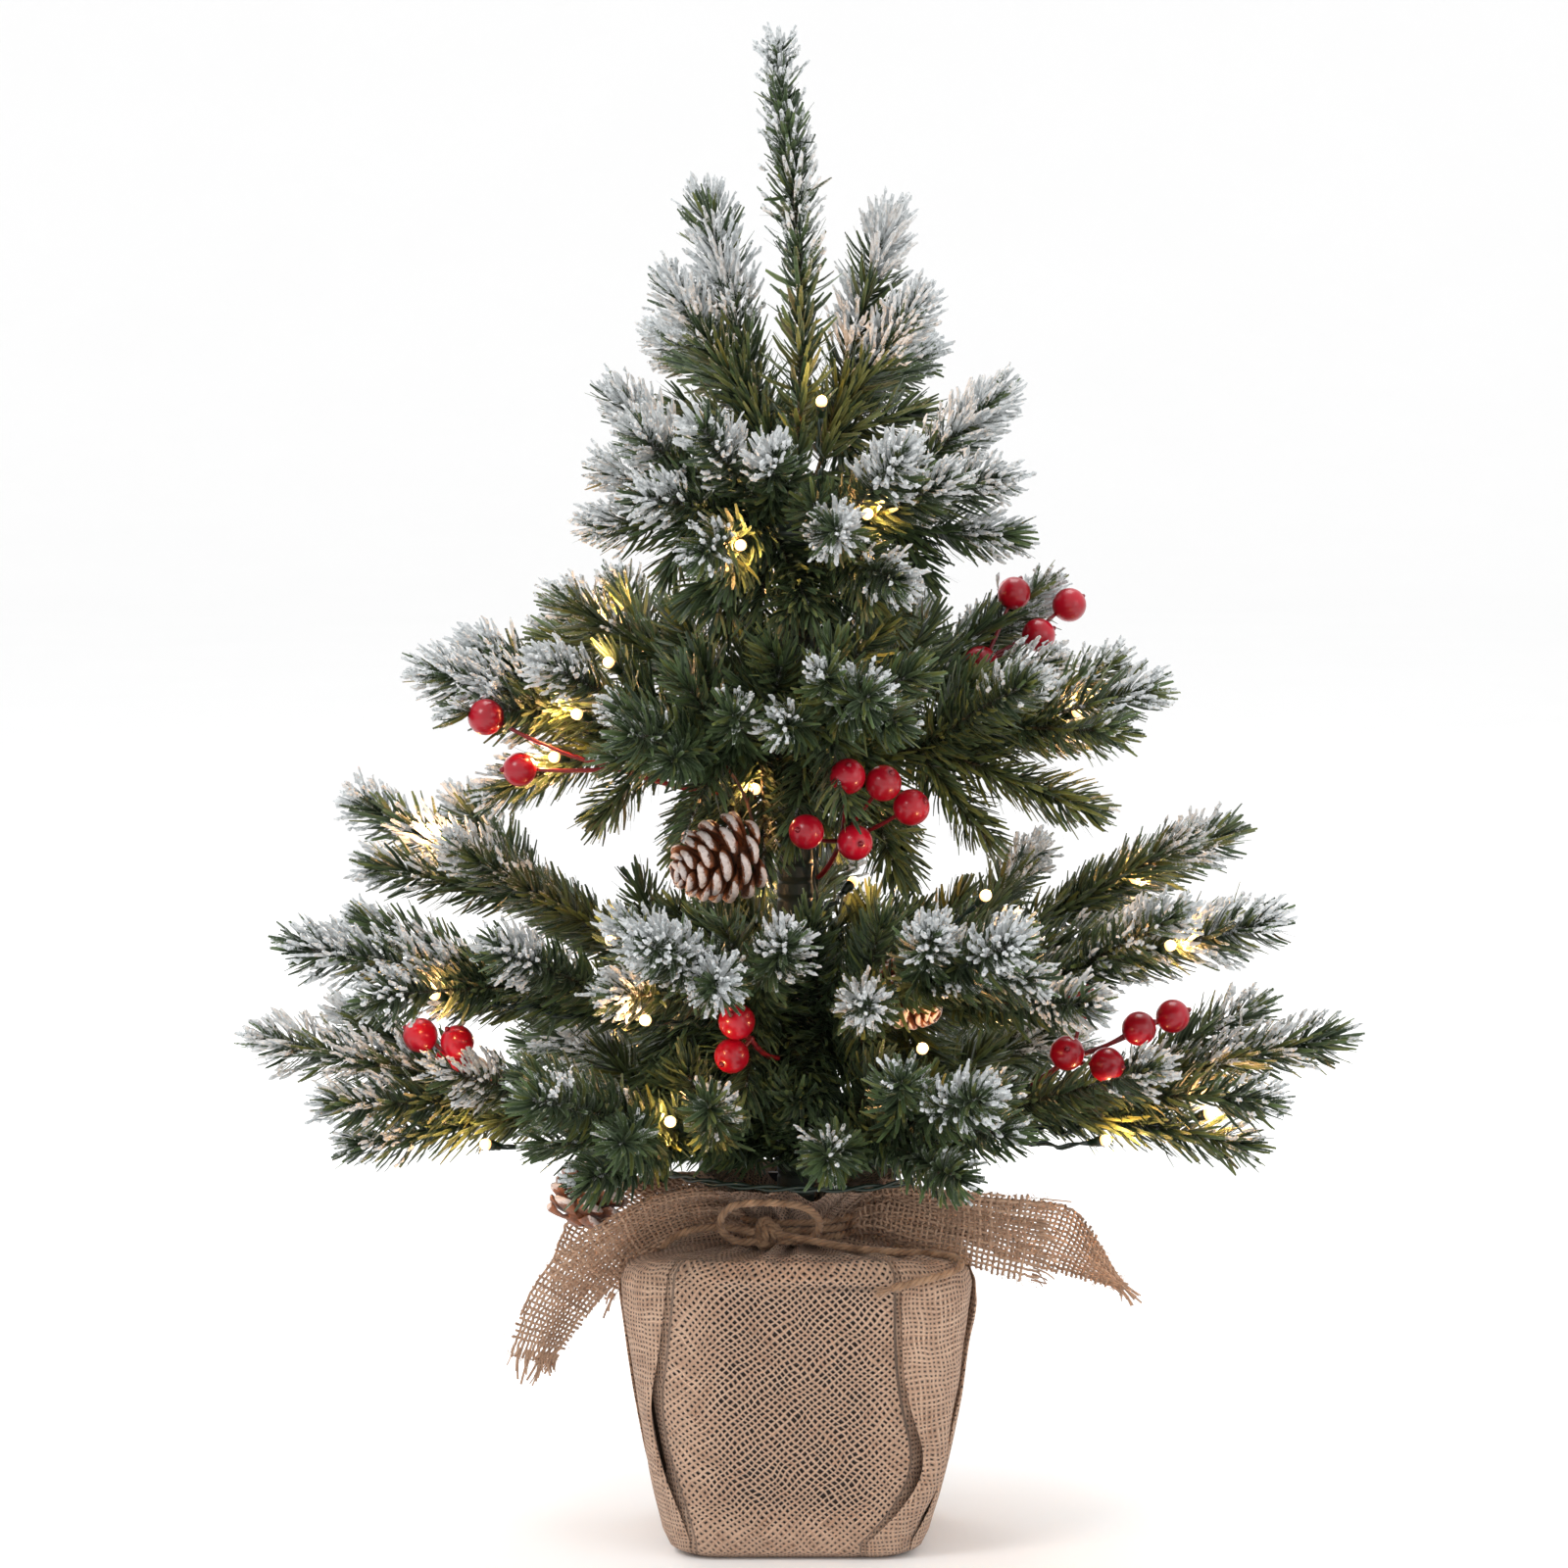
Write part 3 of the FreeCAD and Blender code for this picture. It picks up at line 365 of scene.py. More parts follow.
class Nodes:
    """Short ways to add shader nodes to a material."""

    def __init__(self, name):
        self.material = bpy.data.materials.new(name)
        self.material.use_nodes = True
        self.tree = self.material.node_tree
        self.shader = self.tree.nodes["Principled BSDF"]

    def put(self, socket, value):
        if isinstance(value, bpy.types.NodeSocket):
            self.tree.links.new(value, socket)
        elif isinstance(value, tuple) and len(value) == 3 and socket.type == "RGBA":
            socket.default_value = (*value, 1)
        else:
            socket.default_value = value

    def set(self, **values):
        for key, value in values.items():
            self.put(self.shader.inputs[key.replace("_", " ")], value)

    def math(self, operation, a, b=0.0, clamp=False):
        node = self.tree.nodes.new("ShaderNodeMath")
        node.operation = operation
        node.use_clamp = clamp
        for socket, value in zip(node.inputs, (a, b, 0.0)):
            self.put(socket, value)
        return node.outputs[0]

    def add(self, a, b, clamp=False):
        return self.math("ADD", a, b, clamp)

    def minus(self, a, b):
        return self.math("SUBTRACT", a, b)

    def times(self, a, b):
        return self.math("MULTIPLY", a, b)

    def mix(self, share, a, b):
        node = self.tree.nodes.new("ShaderNodeMix")
        node.data_type = "RGBA"
        self.put(node.inputs[0], share)
        self.put(node.inputs[6], a)
        self.put(node.inputs[7], b)
        return node.outputs[2]

    def mix_value(self, share, a, b):
        node = self.tree.nodes.new("ShaderNodeMix")
        self.put(node.inputs[0], share)
        self.put(node.inputs[2], a)
        self.put(node.inputs[3], b)
        return node.outputs[0]

    def attribute(self, name, colour=False):
        node = self.tree.nodes.new("ShaderNodeAttribute")
        node.attribute_name = name
        return node.outputs["Color" if colour else "Fac"]

    def place(self):
        return self.tree.nodes.new("ShaderNodeTexCoord").outputs["Object"]

    def noise(self, scale, detail=2.0, where=None, rough=0.5):
        node = self.tree.nodes.new("ShaderNodeTexNoise")
        self.put(node.inputs["Vector"], where if where is not None else self.place())
        node.inputs["Scale"].default_value = scale
        node.inputs["Detail"].default_value = detail
        node.inputs["Roughness"].default_value = rough
        return node.outputs["Fac"]

    def step(self, value, low, high):
        node = self.tree.nodes.new("ShaderNodeMapRange")
        node.interpolation_type = "SMOOTHSTEP"
        self.put(node.inputs[0], value)
        node.inputs[1].default_value = low
        node.inputs[2].default_value = high
        return node.outputs[0]

    def combine(self, x, y, z=0.0):
        node = self.tree.nodes.new("ShaderNodeCombineXYZ")
        for socket, value in zip(node.inputs, (x, y, z)):
            self.put(socket, value)
        return node.outputs[0]

    def scale(self, colour, factor):
        node = self.tree.nodes.new("ShaderNodeVectorMath")
        node.operation = "SCALE"
        self.put(node.inputs[0], colour)
        self.put(node.inputs["Scale"], factor)
        return node.outputs[0]

    def bump(self, height, strength, distance):
        node = self.tree.nodes.new("ShaderNodeBump")
        node.inputs["Strength"].default_value = strength
        node.inputs["Distance"].default_value = distance
        self.put(node.inputs["Height"], height)
        self.put(self.shader.inputs["Normal"], node.outputs[0])
        return self


def needle_material():
    """PVC needles with white flocking where the frost value says, first along their edges."""
    n = Nodes("needle_strips")
    rim = n.math("ABSOLUTE", n.minus(n.times(n.attribute("across"), 2.0), 1.0))
    grain = n.minus(n.noise(1400, 3, rough=0.7), 0.5)
    patch = n.minus(n.noise(330, 3, rough=0.65), 0.5)
    level = n.add(n.attribute("frost"), n.times(patch, 1.3))
    level = n.add(level, n.times(grain, 1.1))
    level = n.add(level, n.times(rim, 0.22))
    mask = n.step(level, 0.60, 0.84)
    green = n.scale(n.attribute("tint", True), n.mix_value(n.noise(700, 2), 0.7, 1.3))
    green = n.mix(n.times(n.times(rim, rim), 0.36), green, srgb(130, 146, 116))
    white = n.mix(n.noise(500, 3), srgb(156, 161, 161), srgb(240, 242, 243))
    n.set(Base_Color=n.mix(mask, green, white), Roughness=n.mix_value(mask, 0.45, 0.95))
    n.shader.inputs["Specular IOR Level"].default_value = 0.4
    return n.bump(n.add(n.times(mask, 0.6), n.noise(1500, 2)), 0.5, 0.0005).material


def burlap_material(name, base, deep, hole):
    """Jute cloth. The weave follows the flat coordinates wu and wv, in thread spacings."""
    n = Nodes(name)
    flat = n.combine(n.attribute("wu"), n.attribute("wv"))
    drift = n.tree.nodes.new("ShaderNodeTexNoise")
    n.put(drift.inputs["Vector"], flat)
    drift.inputs["Scale"].default_value = 0.16
    drift.inputs["Detail"].default_value = 2
    parts = n.tree.nodes.new("ShaderNodeSeparateXYZ")
    n.put(parts.inputs[0], drift.outputs["Color"])
    u, v = [n.add(n.attribute(key), n.times(n.minus(parts.outputs[k], 0.5), 2.4))
            for k, key in enumerate(("wu", "wv"))]
    wave_u = n.math("SINE", n.times(u, math.pi))
    wave_v = n.math("SINE", n.times(v, math.pi))
    across_u, across_v = n.math("ABSOLUTE", wave_u), n.math("ABSOLUTE", wave_v)
    # each thread is a little thicker or thinner along its length
    slub_u = n.noise(1.0, 2, n.combine(n.times(n.math("ROUND", u), 3.7), n.times(v, 0.16)))
    slub_v = n.noise(1.0, 2, n.combine(n.times(u, 0.16), n.times(n.math("ROUND", v), 3.7), 5.0))
    width = n.mix_value(n.attribute("open"), 0.22, 0.80)
    gap = n.times(
        n.step(n.minus(n.times(width, n.mix_value(slub_u, 0.5, 1.5)), across_u), -0.1, 0.1),
                 n.step(n.minus(n.times(width, n.mix_value(slub_v, 0.5, 1.5)), across_v), -0.1, 0.1))
    over = n.math("GREATER_THAN", across_u, across_v)
    tone = n.mix_value(over, slub_v, slub_u)
    fibre = n.noise(9.0, 3, flat, 0.7)
    tone = n.add(n.times(tone, 0.65), n.times(fibre, 0.40))
    thread = n.mix(n.step(tone, 0.26, 0.74), deep, base)
    crown = n.math("MAXIMUM", across_u, across_v)
    # painted shade and painted highlight: each thread darker where it dips and lighter on its crown, then darker
    # again by the painted shade value beside folds and in gathers
    shade = n.mix_value(n.step(crown, 0.35, 0.98), 0.42, 1.12)
    shade = n.times(shade, n.mix_value(n.attribute("painted_shade"), 1.0, 0.42))
    colour = n.mix(gap, n.scale(thread, shade), hole)
    height = n.add(n.times(crown, 0.9), n.times(fibre, 0.35))
    height = n.minus(height, n.times(gap, 1.4))
    n.set(Base_Color=colour, Roughness=0.93)
    n.shader.inputs["Sheen Weight"].default_value = 0.15
    n.shader.inputs["Specular IOR Level"].default_value = 0.15
    return n.bump(height, 1.0, 0.0008).material


def fibre_material(name, light, dark):
    """Jute fibre: streaks and a little fuzz in the bump, tone by the tone value."""
    n = Nodes(name)
    streak = n.noise(700, 3, rough=0.6)
    tone = n.add(n.times(n.attribute("tone"), 0.65),
                  n.times(streak, 0.45), clamp=True)
    n.set(Base_Color=n.mix(tone, dark, light), Roughness=0.9)
    n.shader.inputs["Sheen Weight"].default_value = 0.2
    n.shader.inputs["Specular IOR Level"].default_value = 0.2
    return n.bump(streak, 0.5, 0.0003).material


def plain_material(name, light, dark, rough, scale, bump=0.2, metal=0.0, depth=0.0003):
    """A procedural finish with fine colour variation and grain."""
    n = Nodes(name)
    grain = n.noise(scale, 4, rough=0.6)
    n.set(Base_Color=n.mix(grain, dark, light), Roughness=rough, Metallic=metal)
    return n.bump(n.noise(scale * 3, 3), bump, depth).material


def berry_material():
    n = Nodes("berry_lacquer")
    colour = n.mix(n.step(n.noise(60, 2), 0.3, 0.7), srgb(142, 4, 24), srgb(176, 8, 36))
    n.set(Base_Color=n.mix(n.attribute("tip"), colour, srgb(118, 6, 24)), Roughness=0.30)
    n.shader.inputs["Coat Weight"].default_value = 0.35
    n.shader.inputs["Coat Roughness"].default_value = 0.12
    n.shader.inputs["Specular IOR Level"].default_value = 0.3
    return n.bump(n.noise(350, 2), 0.06, 0.0003).material


def cone_material():
    """Brown woody scales, painted white at their ends."""
    n = Nodes("cone_scales")
    brown = n.mix(n.step(n.noise(220, 4, rough=0.65), 0.3, 0.7), srgb(62, 34, 22), srgb(150, 88, 50))
    level = n.add(n.attribute("tip"), n.times(n.minus(n.noise(520, 3, rough=0.7), 0.5), 0.9))
    mask = n.step(level, 0.70, 0.90)
    white = n.mix(n.noise(700, 2), srgb(170, 150, 142), srgb(232, 224, 220))
    n.set(Base_Color=n.mix(mask, brown, white), Roughness=0.62)
    return n.bump(n.noise(600, 3), 0.5, 0.0005).material


def glow_material():
    n = Nodes("lamp_glow")
    heat = n.add(n.attribute("tip"), n.times(n.noise(300, 1), 0.2), clamp=True)
    colour = n.mix(heat, (1.0, 0.36, 0.06), (1.0, 0.74, 0.36))
    n.set(Base_Color=colour, Roughness=0.2, Emission_Color=colour)
    n.shader.inputs["Emission Strength"].default_value = 2.2
    return n.material


NEEDLES = needle_material()
BURLAP = burlap_material("burlap_weave", srgb(204, 173, 149), srgb(132, 99, 78), srgb(36, 23, 15))
JUTE = fibre_material("burlap_thread", srgb(196, 162, 136), srgb(106, 78, 58))
TWINE = fibre_material("twine_fibre", srgb(176, 142, 112), srgb(100, 72, 52))
BERRY = berry_material()
STEM = plain_material("berry_stem", srgb(128, 16, 26), srgb(82, 8, 16), 0.4, 300)
CONE = cone_material()
CABLE = plain_material("green_cable", srgb(24, 44, 34), srgb(10, 24, 18), 0.38, 200)
GLOW = glow_material()
HOLDER = plain_material("lamp_holder", srgb(28, 50, 36), srgb(12, 26, 18), 0.3, 300, 0.1)
TAPE = plain_material("trunk_tape_plastic", srgb(44, 56, 44), srgb(16, 24, 18), 0.5, 260, 0.5)
DARK = plain_material("moulded_black", srgb(30, 31, 33), srgb(17, 18, 19), 0.42, 900, 0.25)
LINER = plain_material("liner_plastic", srgb(58, 44, 32), srgb(38, 28, 20), 0.6, 500, 0.2)
CEMENT = plain_material("cast_cement", srgb(150, 147, 140), srgb(96, 94, 90), 0.95, 90, 0.6, 0.0, 0.001)
METAL = plain_material("plated_steel", srgb(206, 206, 204), srgb(168, 168, 166), 0.28, 400, 0.1, 1.0)
CELL = plain_material("cell_sleeve", srgb(86, 88, 94), srgb(52, 54, 60), 0.35, 200, 0.05)
ROD = plain_material("painted_rod", srgb(40, 52, 38), srgb(24, 32, 24), 0.5, 300, 0.2, 0.6)


# ------------------------------------------------------------------ needle brushes
WIRE_PITCH = 5.0            # one turn of the two twisted wires
WIRE_TINT = srgb(70, 62, 42)
FLOCK_TINT = srgb(190, 196, 198)
NEEDLE_DARK, NEEDLE_LIGHT, NEEDLE_OLIVE = srgb(30, 46, 28), srgb(82, 101, 59), srgb(104, 108, 42)
# No needles hang in front of the neck: the middle and half width of that room, how far back
# it starts, its height, and how much lower it is at its sides.
NECK_X, NECK_HALF_WIDTH, NECK_Y, NECK_TOP, NECK_DROP = 4, 62, 8, 141, 5


def branch_frame(spec):
    """Root of a branch and the directions outward, sideways and along it."""
    azimuth, root_z, rise = spec[1:4]
    a, r = math.radians(azimuth), math.radians(rise)
    out = arr([math.cos(a), math.sin(a), 0])
    along = out * math.cos(r) + arr([0, 0, math.sin(r)])
    return out * HINGE_R + arr([0, 0, root_z]), out, arr([-out[1], out[0], 0]), along


def branch_stems(spec):
    """Start, end and bare start of the main wire and of each twig."""
    pattern, _, _, rise, length, hand, _, _ = spec
    root, out, side, along = branch_frame(spec)
    r = math.radians(rise)
    above = out * -math.sin(r) + arr([0, 0, math.cos(r)])
    stems = [(root, root + along * length, 15.0)]
    for share, turn, lift, size in TWIGS[pattern]:
        turn, lift = math.radians(turn * hand), math.radians(lift)
        way = unit(along * (math.cos(turn) * math.cos(lift)) + side * math.sin(turn)
                   + above * (math.cos(turn) * math.sin(lift)))
        start = root + along * (share * length)
        stems.append((start, start + way * (size * length), 3.0))
    return stems


def open_air():
    """Segments that needles keep clear of: lamps, berries and cones, and a little in front of them."""
    rows = []
    for centres in list(LIGHTS.values()) + [TRUNK_LIGHTS]:
        rows += [(c, 34 if c[1] < 20 else 6, 4.6) for c in centres]
    for _, _, berries in SPRAYS.values():
        rows += [(c, 26 if c[1] < 20 else 4, 7.4) for c in berries]
    for name, (_, centre, radius, _, _) in CONES.items():
        rows.append((centre, 30 if name.endswith("middle_front_left") else 1, radius * 0.9))
    start = arr([r[0] for r in rows])
    end = start + arr([[0, -r[1], 0.1 * r[1]] for r in rows])
    return start, end, arr([r[2] for r in rows])


CLEAR = open_air()


def keeps_clear(points):
    """Which lines (n, k, 3) stay out of the clear segments."""
    start, end, radius = CLEAR
    run = end - start
    flat = points.reshape(-1, 1, 3) - start[None]
    share = np.clip((flat * run[None]).sum(-1) / (run * run).sum(-1)[None], 0, 1)
    away = np.linalg.norm(flat - run[None] * share[..., None], axis=-1)
    hit = (away < radius[None]).any(axis=1).reshape(points.shape[:2])
    x, y, z = points[..., 0], points[..., 1], points[..., 2]
    ceiling = NECK_TOP + NECK_DROP * np.cos((x - NECK_X) / NECK_HALF_WIDTH * 1.57)
    hit = hit | ((np.abs(x - NECK_X) < NECK_HALF_WIDTH) & (y < NECK_Y) & (z < ceiling))
    return ~hit[:, 1:].any(axis=1)


def needle_curve(at, first, last, size, s):
    """Points at shares s (n or 1, k, 1) of needles that leave along first and end along last."""
    size = size[:, None, None]
    return (at[:, None] + first[:, None] * (size * (s - 0.5 * s * s))
            + last[:, None] * (size * 0.5 * s * s))


def brush(build, rng, line, bare, frost, yellow, reach, lean=49.0, density=4.0, width=1.6,
          spread=6.0, ragged=0.0):
    """Needles all round a bent wire, in a spiral. line is (k, 3); lean and spread are degrees."""
    length = np.linalg.norm(np.diff(line, axis=0), axis=1).sum()
    count = int((length - bare) * density)
    t = (bare + (length - bare) * (np.arange(count) + rng.uniform(0, 1, count)) / count) / length
    at = along_curve(line, t)
    ahead = unit(along_curve(line, np.minimum(t + 0.02, 1.0)) - along_curve(line, t - 0.02))
    tuft = smooth(1 - 15 / length, 1.0, t)
    turn = np.arange(count) * GOLDEN_ANGLE + rng.normal(0, 0.22, count)
    guide = unit(np.cross(ahead, arr([0.13, 0.21, 0.97])))
    other = np.cross(guide, ahead)
    radial = guide * np.cos(turn)[:, None] + other * np.sin(turn)[:, None]
    size = reach * (0.82 + 0.18 * smooth(0, 0.25, t)) * (1 - 0.20 * tuft)
    size = size * rng.uniform(0.80 - 0.25 * ragged, 1.07, count)
    stray = rng.uniform(0, 1, count) < 0.06 + 0.16 * ragged
    noise = rng.normal(0, spread, count) + np.where(stray, rng.normal(0, 16, count), 0)
    open_angle = np.radians(lean + noise - 28 * tuft * rng.uniform(0.2, 1.3, count))
    first, last = [unit(ahead * np.cos(a)[:, None] + radial * np.sin(a)[:, None])
                   for a in (open_angle + 0.20, open_angle - 0.26)]
    last = unit(last + rng.normal(0, 0.05, (count, 3)))
    lines = needle_curve(at, first, last, size, np.linspace(0, 1, 4)[None, :, None])
    twist = rng.normal(0, 0.5, count)
    flat = unit(np.cross(first, radial) * np.cos(twist)[:, None]
                + np.cross(np.cross(first, radial), first) * np.sin(twist)[:, None])
    # frost sits on the outer needles, thicker on top and in clumps
    clump = 0.5 + 0.5 * ripple(t * length / 8.0 + 1.4 * np.cos(turn), int(rng.integers(1e6)),
                               4, 0.6, 1.8)
    cover = (frost * (smooth(0.26, 0.95, t) * 1.0 + 0.20) * (0.80 + 0.40 * last[:, 2])
             * (0.35 + 0.75 * clump))
    cover = cover + rng.normal(0, 0.09, count)
    amount = np.clip(cover[:, None] * arr([0.30, 0.55, 0.85, 1.05])[None, :], 0, 1)
    mood = rng.uniform(0, 1, count)
    warm = rng.uniform(0, 1, count) < yellow * 0.55
    kept = keeps_clear(lines)
    widths = width * rng.uniform(0.85, 1.15, count)[:, None] * arr([0.75, 1.0, 0.98, 0.5])[None, :]
    widths = widths * (1 + 0.3 * amount)
    dark, light, olive = arr(NEEDLE_DARK), arr(NEEDLE_LIGHT), arr(NEEDLE_OLIVE)
    tint = dark + (light - dark) * mood[:, None] ** 1.3
    tint = np.where(warm[:, None], tint * 0.4 + olive * 0.6, tint)
    # painted shade: each needle darker at its base inside the brush and lighter towards its tip
    shade = arr([0.36, 0.78, 1.02, 1.16])
    tint = np.repeat((tint[:, None, :] * shade[None, :, None])[:, :, None, :], 2, axis=2)
    points, quads = strips(lines[kept], np.repeat(flat[kept, None, :], 4, axis=1), widths[kept])
    build.add(points, [quads], tint=tint[kept].reshape(-1, 3),
              frost=np.repeat(amount[kept][:, :, None], 2, axis=2).reshape(-1),
              across=np.tile([0.0, 1.0], kept.sum() * 4))
    # flock: lumpy sleeves on the whitest needles
    white = np.nonzero((cover > 0.60) & kept)[0]
    if len(white):
        begin = 1 - np.clip((cover[white] - 0.25) * 0.75, 0.22, 0.62)
        share = begin[:, None] + (1.03 - begin[:, None]) * np.linspace(0, 1, 6)[None, :]
        sleeve = needle_curve(at[white], first[white], last[white], size[white], share[..., None])
        sleeve = sleeve + rng.normal(0, 0.30, sleeve.shape)
        fat = rng.uniform(0.30, 1.05, (len(white), 6)) * arr([0.35, 0.9, 1.0, 1.0, 1.0, 0.5])[None, :]
        points, faces = tubes(sleeve, fat, 4, turn=rng.uniform(0, 1.5, (len(white), 6)))
        build.add(points, faces, tint=arr(FLOCK_TINT), frost=rng.uniform(0.75, 1.0), across=0.5)


def wire(build, line, radius):
    """Two wires twisted together, as one oval turning along the line."""
    length = np.linalg.norm(np.diff(line, axis=0), axis=1).sum()
    count = max(4, int(length / 1.6))
    path = along_curve(line, np.linspace(0, 1, count))[None]
    turn = (np.linspace(0, length, count) / WIRE_PITCH * 2 * np.pi)[None]
    points, faces = tubes(path, radius, 6, turn=turn, oval=0.6)
    build.add(points, faces, tint=arr(WIRE_TINT), across=0.5,
              frost=np.repeat(np.linspace(0.1, 0.75, count), 6))


def bent(start, end, rng, share):
    """A slightly bent wire between two points."""
    length = np.linalg.norm(end - start)
    way = unit(end - start)
    push = np.cross(way, unit(rng.normal(0, 1, 3))) * length * share * rng.uniform(0.2, 1)
    t = np.linspace(0, 1, 9)[:, None]
    return start + (end - start) * t + push * (4 * t * (1 - t)) * t


# Short inner twigs near the trunk: distance out, side turn, lift and length, in mm and degrees.
INNER = {
    "bottom": [(20, 50, 42, 44), (22, -50, 38, 44), (40, 4, 50, 44), (8, 80, 10, 26), (8, -80, 24, 26)],
    "lower": [(14, 46, 54, 52), (16, -48, 52, 50), (36, 6, -54, 44), (16, 52, -40, 44), (18, -50, -40, 44),
              (44, -10, 58, 42), (8, 80, 20, 28), (8, -80, -16, 28)],
    "middle": [(14, 48, 50, 48), (16, -46, 44, 44), (16, 36, -62, 50), (18, -36, -62, 50), (42, 2, -50, 46),
               (40, -8, 48, 38), (8, 80, -30, 30), (8, -80, 30, 30)],
    "crown": [(10, 56, -44, 42), (12, -56, -40, 42), (14, 4, -76, 42), (24, 46, 22, 38), (26, -44, 16, 38),
              (34, 0, -60, 36)],
}


def inner_twigs(spec):
    """Start and end of each short twig near the trunk."""
    root, out, side, along = branch_frame(spec)
    for reach, turn, lift, length in INNER[spec[0].split("_")[0]]:
        turn, lift = math.radians(turn), math.radians(lift)
        way = unit((out * math.cos(turn) + side * math.sin(turn)) * math.cos(lift) + arr([0, 0, math.sin(lift)]))
        start = root + along * reach
        yield start, start + way * length


def make_branch(index, name, spec):
    build = Builder()
    rng = np.random.default_rng(100 + index)
    for number, (start, end, bare) in enumerate(branch_stems(spec)):
        line = bent(start, end, rng, 0.0 if number == 0 else 0.04)
        wire(build, line, 1.2 if number == 0 else 0.9)
        brush(build, rng, line, bare, spec[6], spec[7], reach=19.0 if number == 0 else 18.0)
    for start, end in inner_twigs(spec):
        line = bent(start, end, rng, 0.08)
        wire(build, line, 0.8)
        brush(build, rng, line, 1.0, 0.22 * spec[6], spec[7], reach=17.5, density=3.4)
    piece = build.object("needles_" + name, [NEEDLES], smooth_faces=False)
    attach(piece, name)
    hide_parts(name)


for index, (name, spec) in enumerate(BRANCHES.items()):
    make_branch(index, name, spec)

build = Builder()
rng = np.random.default_rng(77)
leader_line = rounded(LEADER, 24)
wire(build, leader_line, 1.5)
for part, frost, reach, lean in ((leader_line[:20], 0.78, 19.0, 44), (leader_line[15:], 0.86, 15.0, 48)):
    brush(build, rng, part, 2.0, frost, 0.1, reach, lean, density=3.0, width=1.9, spread=12, ragged=1.0)
piece = build.object("needles_leader", [NEEDLES], smooth_faces=False)
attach(piece, "base")
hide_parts("leader")

# ------------------------------------------------------------------ the wrapped pot
POT = [(0, 44, 14), (3, 50, 18), (10, 53, 20), (24, 55.5, 21), (62, 62, 22), (104, 68.5, 22),
       (113, 69, 22), (118, 67, 22), (120.5, 61, 21)]
# Folds of the cloth: heights, places round the pot from the front's middle, the side that lies on top,
# how proud its edge is, and how far the cloth goes under it at the top.
FOLDS = [
    ([8, 32, 70, 118], [-168, -172, -182, -190], 1, 3.4, 40),
    ([8, 20, 60, 118], [-100, -102, -112, -122], -1, 3.0, 44),
    ([8, 22, 35, 51, 68, 84, 118], [-43, -46.9, -51.8, -56.4, -57, -54, -51], -1, 3.8, 40),
    ([8, 14, 23, 35, 47, 63, 84, 118], [29, 35, 42, 48.5, 49.5, 45.2, 42.3, 42], 1, 4.8, 30),
    ([8, 17, 40, 62, 76, 118], [48, 54, 62, 66, 76, 79], 1, 3.6, 42),
    ([8, 20, 60, 118], [104, 110, 118, 126], -1, 3.0, 40),
    ([8, 32, 70, 118], [170, 178, 188, 196], -1, 3.4, 40),
]
# How dark the painted shade beside each fold is at heights 0, 30, 60, 90 and 118; it also sets how proud the
# fold's edge stands.
FOLD_SHADE = [(0.6, 0.8, 0.8, 0.6, 0.4), (0.6, 0.8, 0.8, 0.6, 0.4), (0.5, 1.1, 0.75, 0.16, 0.05),
              (0.7, 1.1, 0.9, 0.45, 0.25), (0.7, 1.0, 0.8, 0.6, 0.4), (0.6, 0.8, 0.8, 0.6, 0.4),
              (0.6, 0.8, 0.8, 0.6, 0.4)]
FOLD_LINES = [rounded(list(zip(f[0], f[1])), 60) for f in FOLDS]
WIDEST = 4 * (2 * (69 - 22) + 22 * math.pi / 2)
NECK_R = 22.5


def pot_size(z):
    zs, hs, cs = zip(*POT)
    return np.interp(z, zs, hs), np.interp(z, zs, cs)


def around(q, half, corner):
    """Point and outward direction on a rounded square, q mm round from the front's middle."""
    flat = half - corner
    quarter = 2 * flat + corner * math.pi / 2
    turn = np.floor(q / quarter + 0.5)
    s = q - turn * quarter
    over = np.clip(np.abs(s) - flat, 0, None)
    angle = over / corner
    x = np.sign(s) * (np.minimum(np.abs(s), flat) + corner * np.sin(angle))
    y = flat + corner * np.cos(angle)
    nx, ny = np.sign(s) * np.sin(angle), np.cos(angle)
    a = turn * math.pi / 2
    c, d = np.cos(a), np.sin(a)
    return x * c + y * d, x * d - y * c, nx * c + ny * d, nx * d - ny * c


def fold_profile(edge, depth):
    """Offsets (round, proud) of a fold whose upper layer is on the plus side."""
    return arr([(-3.0, -0.5), (-1.2, -0.9), (0.3, -1.0), (depth * 0.5, -1.1), (depth, -1.1),
                (depth + 0.2, -0.9), (depth, -0.6), (depth * 0.5, -0.5), (3.0, -0.1),
                (1.2, edge * 0.45), (-0.2, edge * 0.75), (-0.9, edge * 0.94), (-0.7, edge * 1.05),
                (0.3, edge * 1.1), (1.8, edge * 1.08)])


def fold_place(number, z, whole):
    zs, qs, side, edge, depth = FOLDS[number]
    q = np.interp(z, FOLD_LINES[number][:, 0], FOLD_LINES[number][:, 1])
    if abs(qs[-1]) > 90:
        q = qs[-1] / WIDEST * whole + (q - qs[-1]) * 0.3
    grow = smooth(0, 60, z)
    shade = np.interp(z, [0, 30, 60, 90, 118], FOLD_SHADE[number])
    edge = edge * (0.35 + 0.65 * min(1, shade / 0.7))
    return q, side, edge * (0.25 + 0.75 * smooth(3, 26, z)) * (1 - 0.45 * smooth(96, 118, z)), \
        2 + (depth - 2) * (0.25 * grow + 0.75 * z / 118)


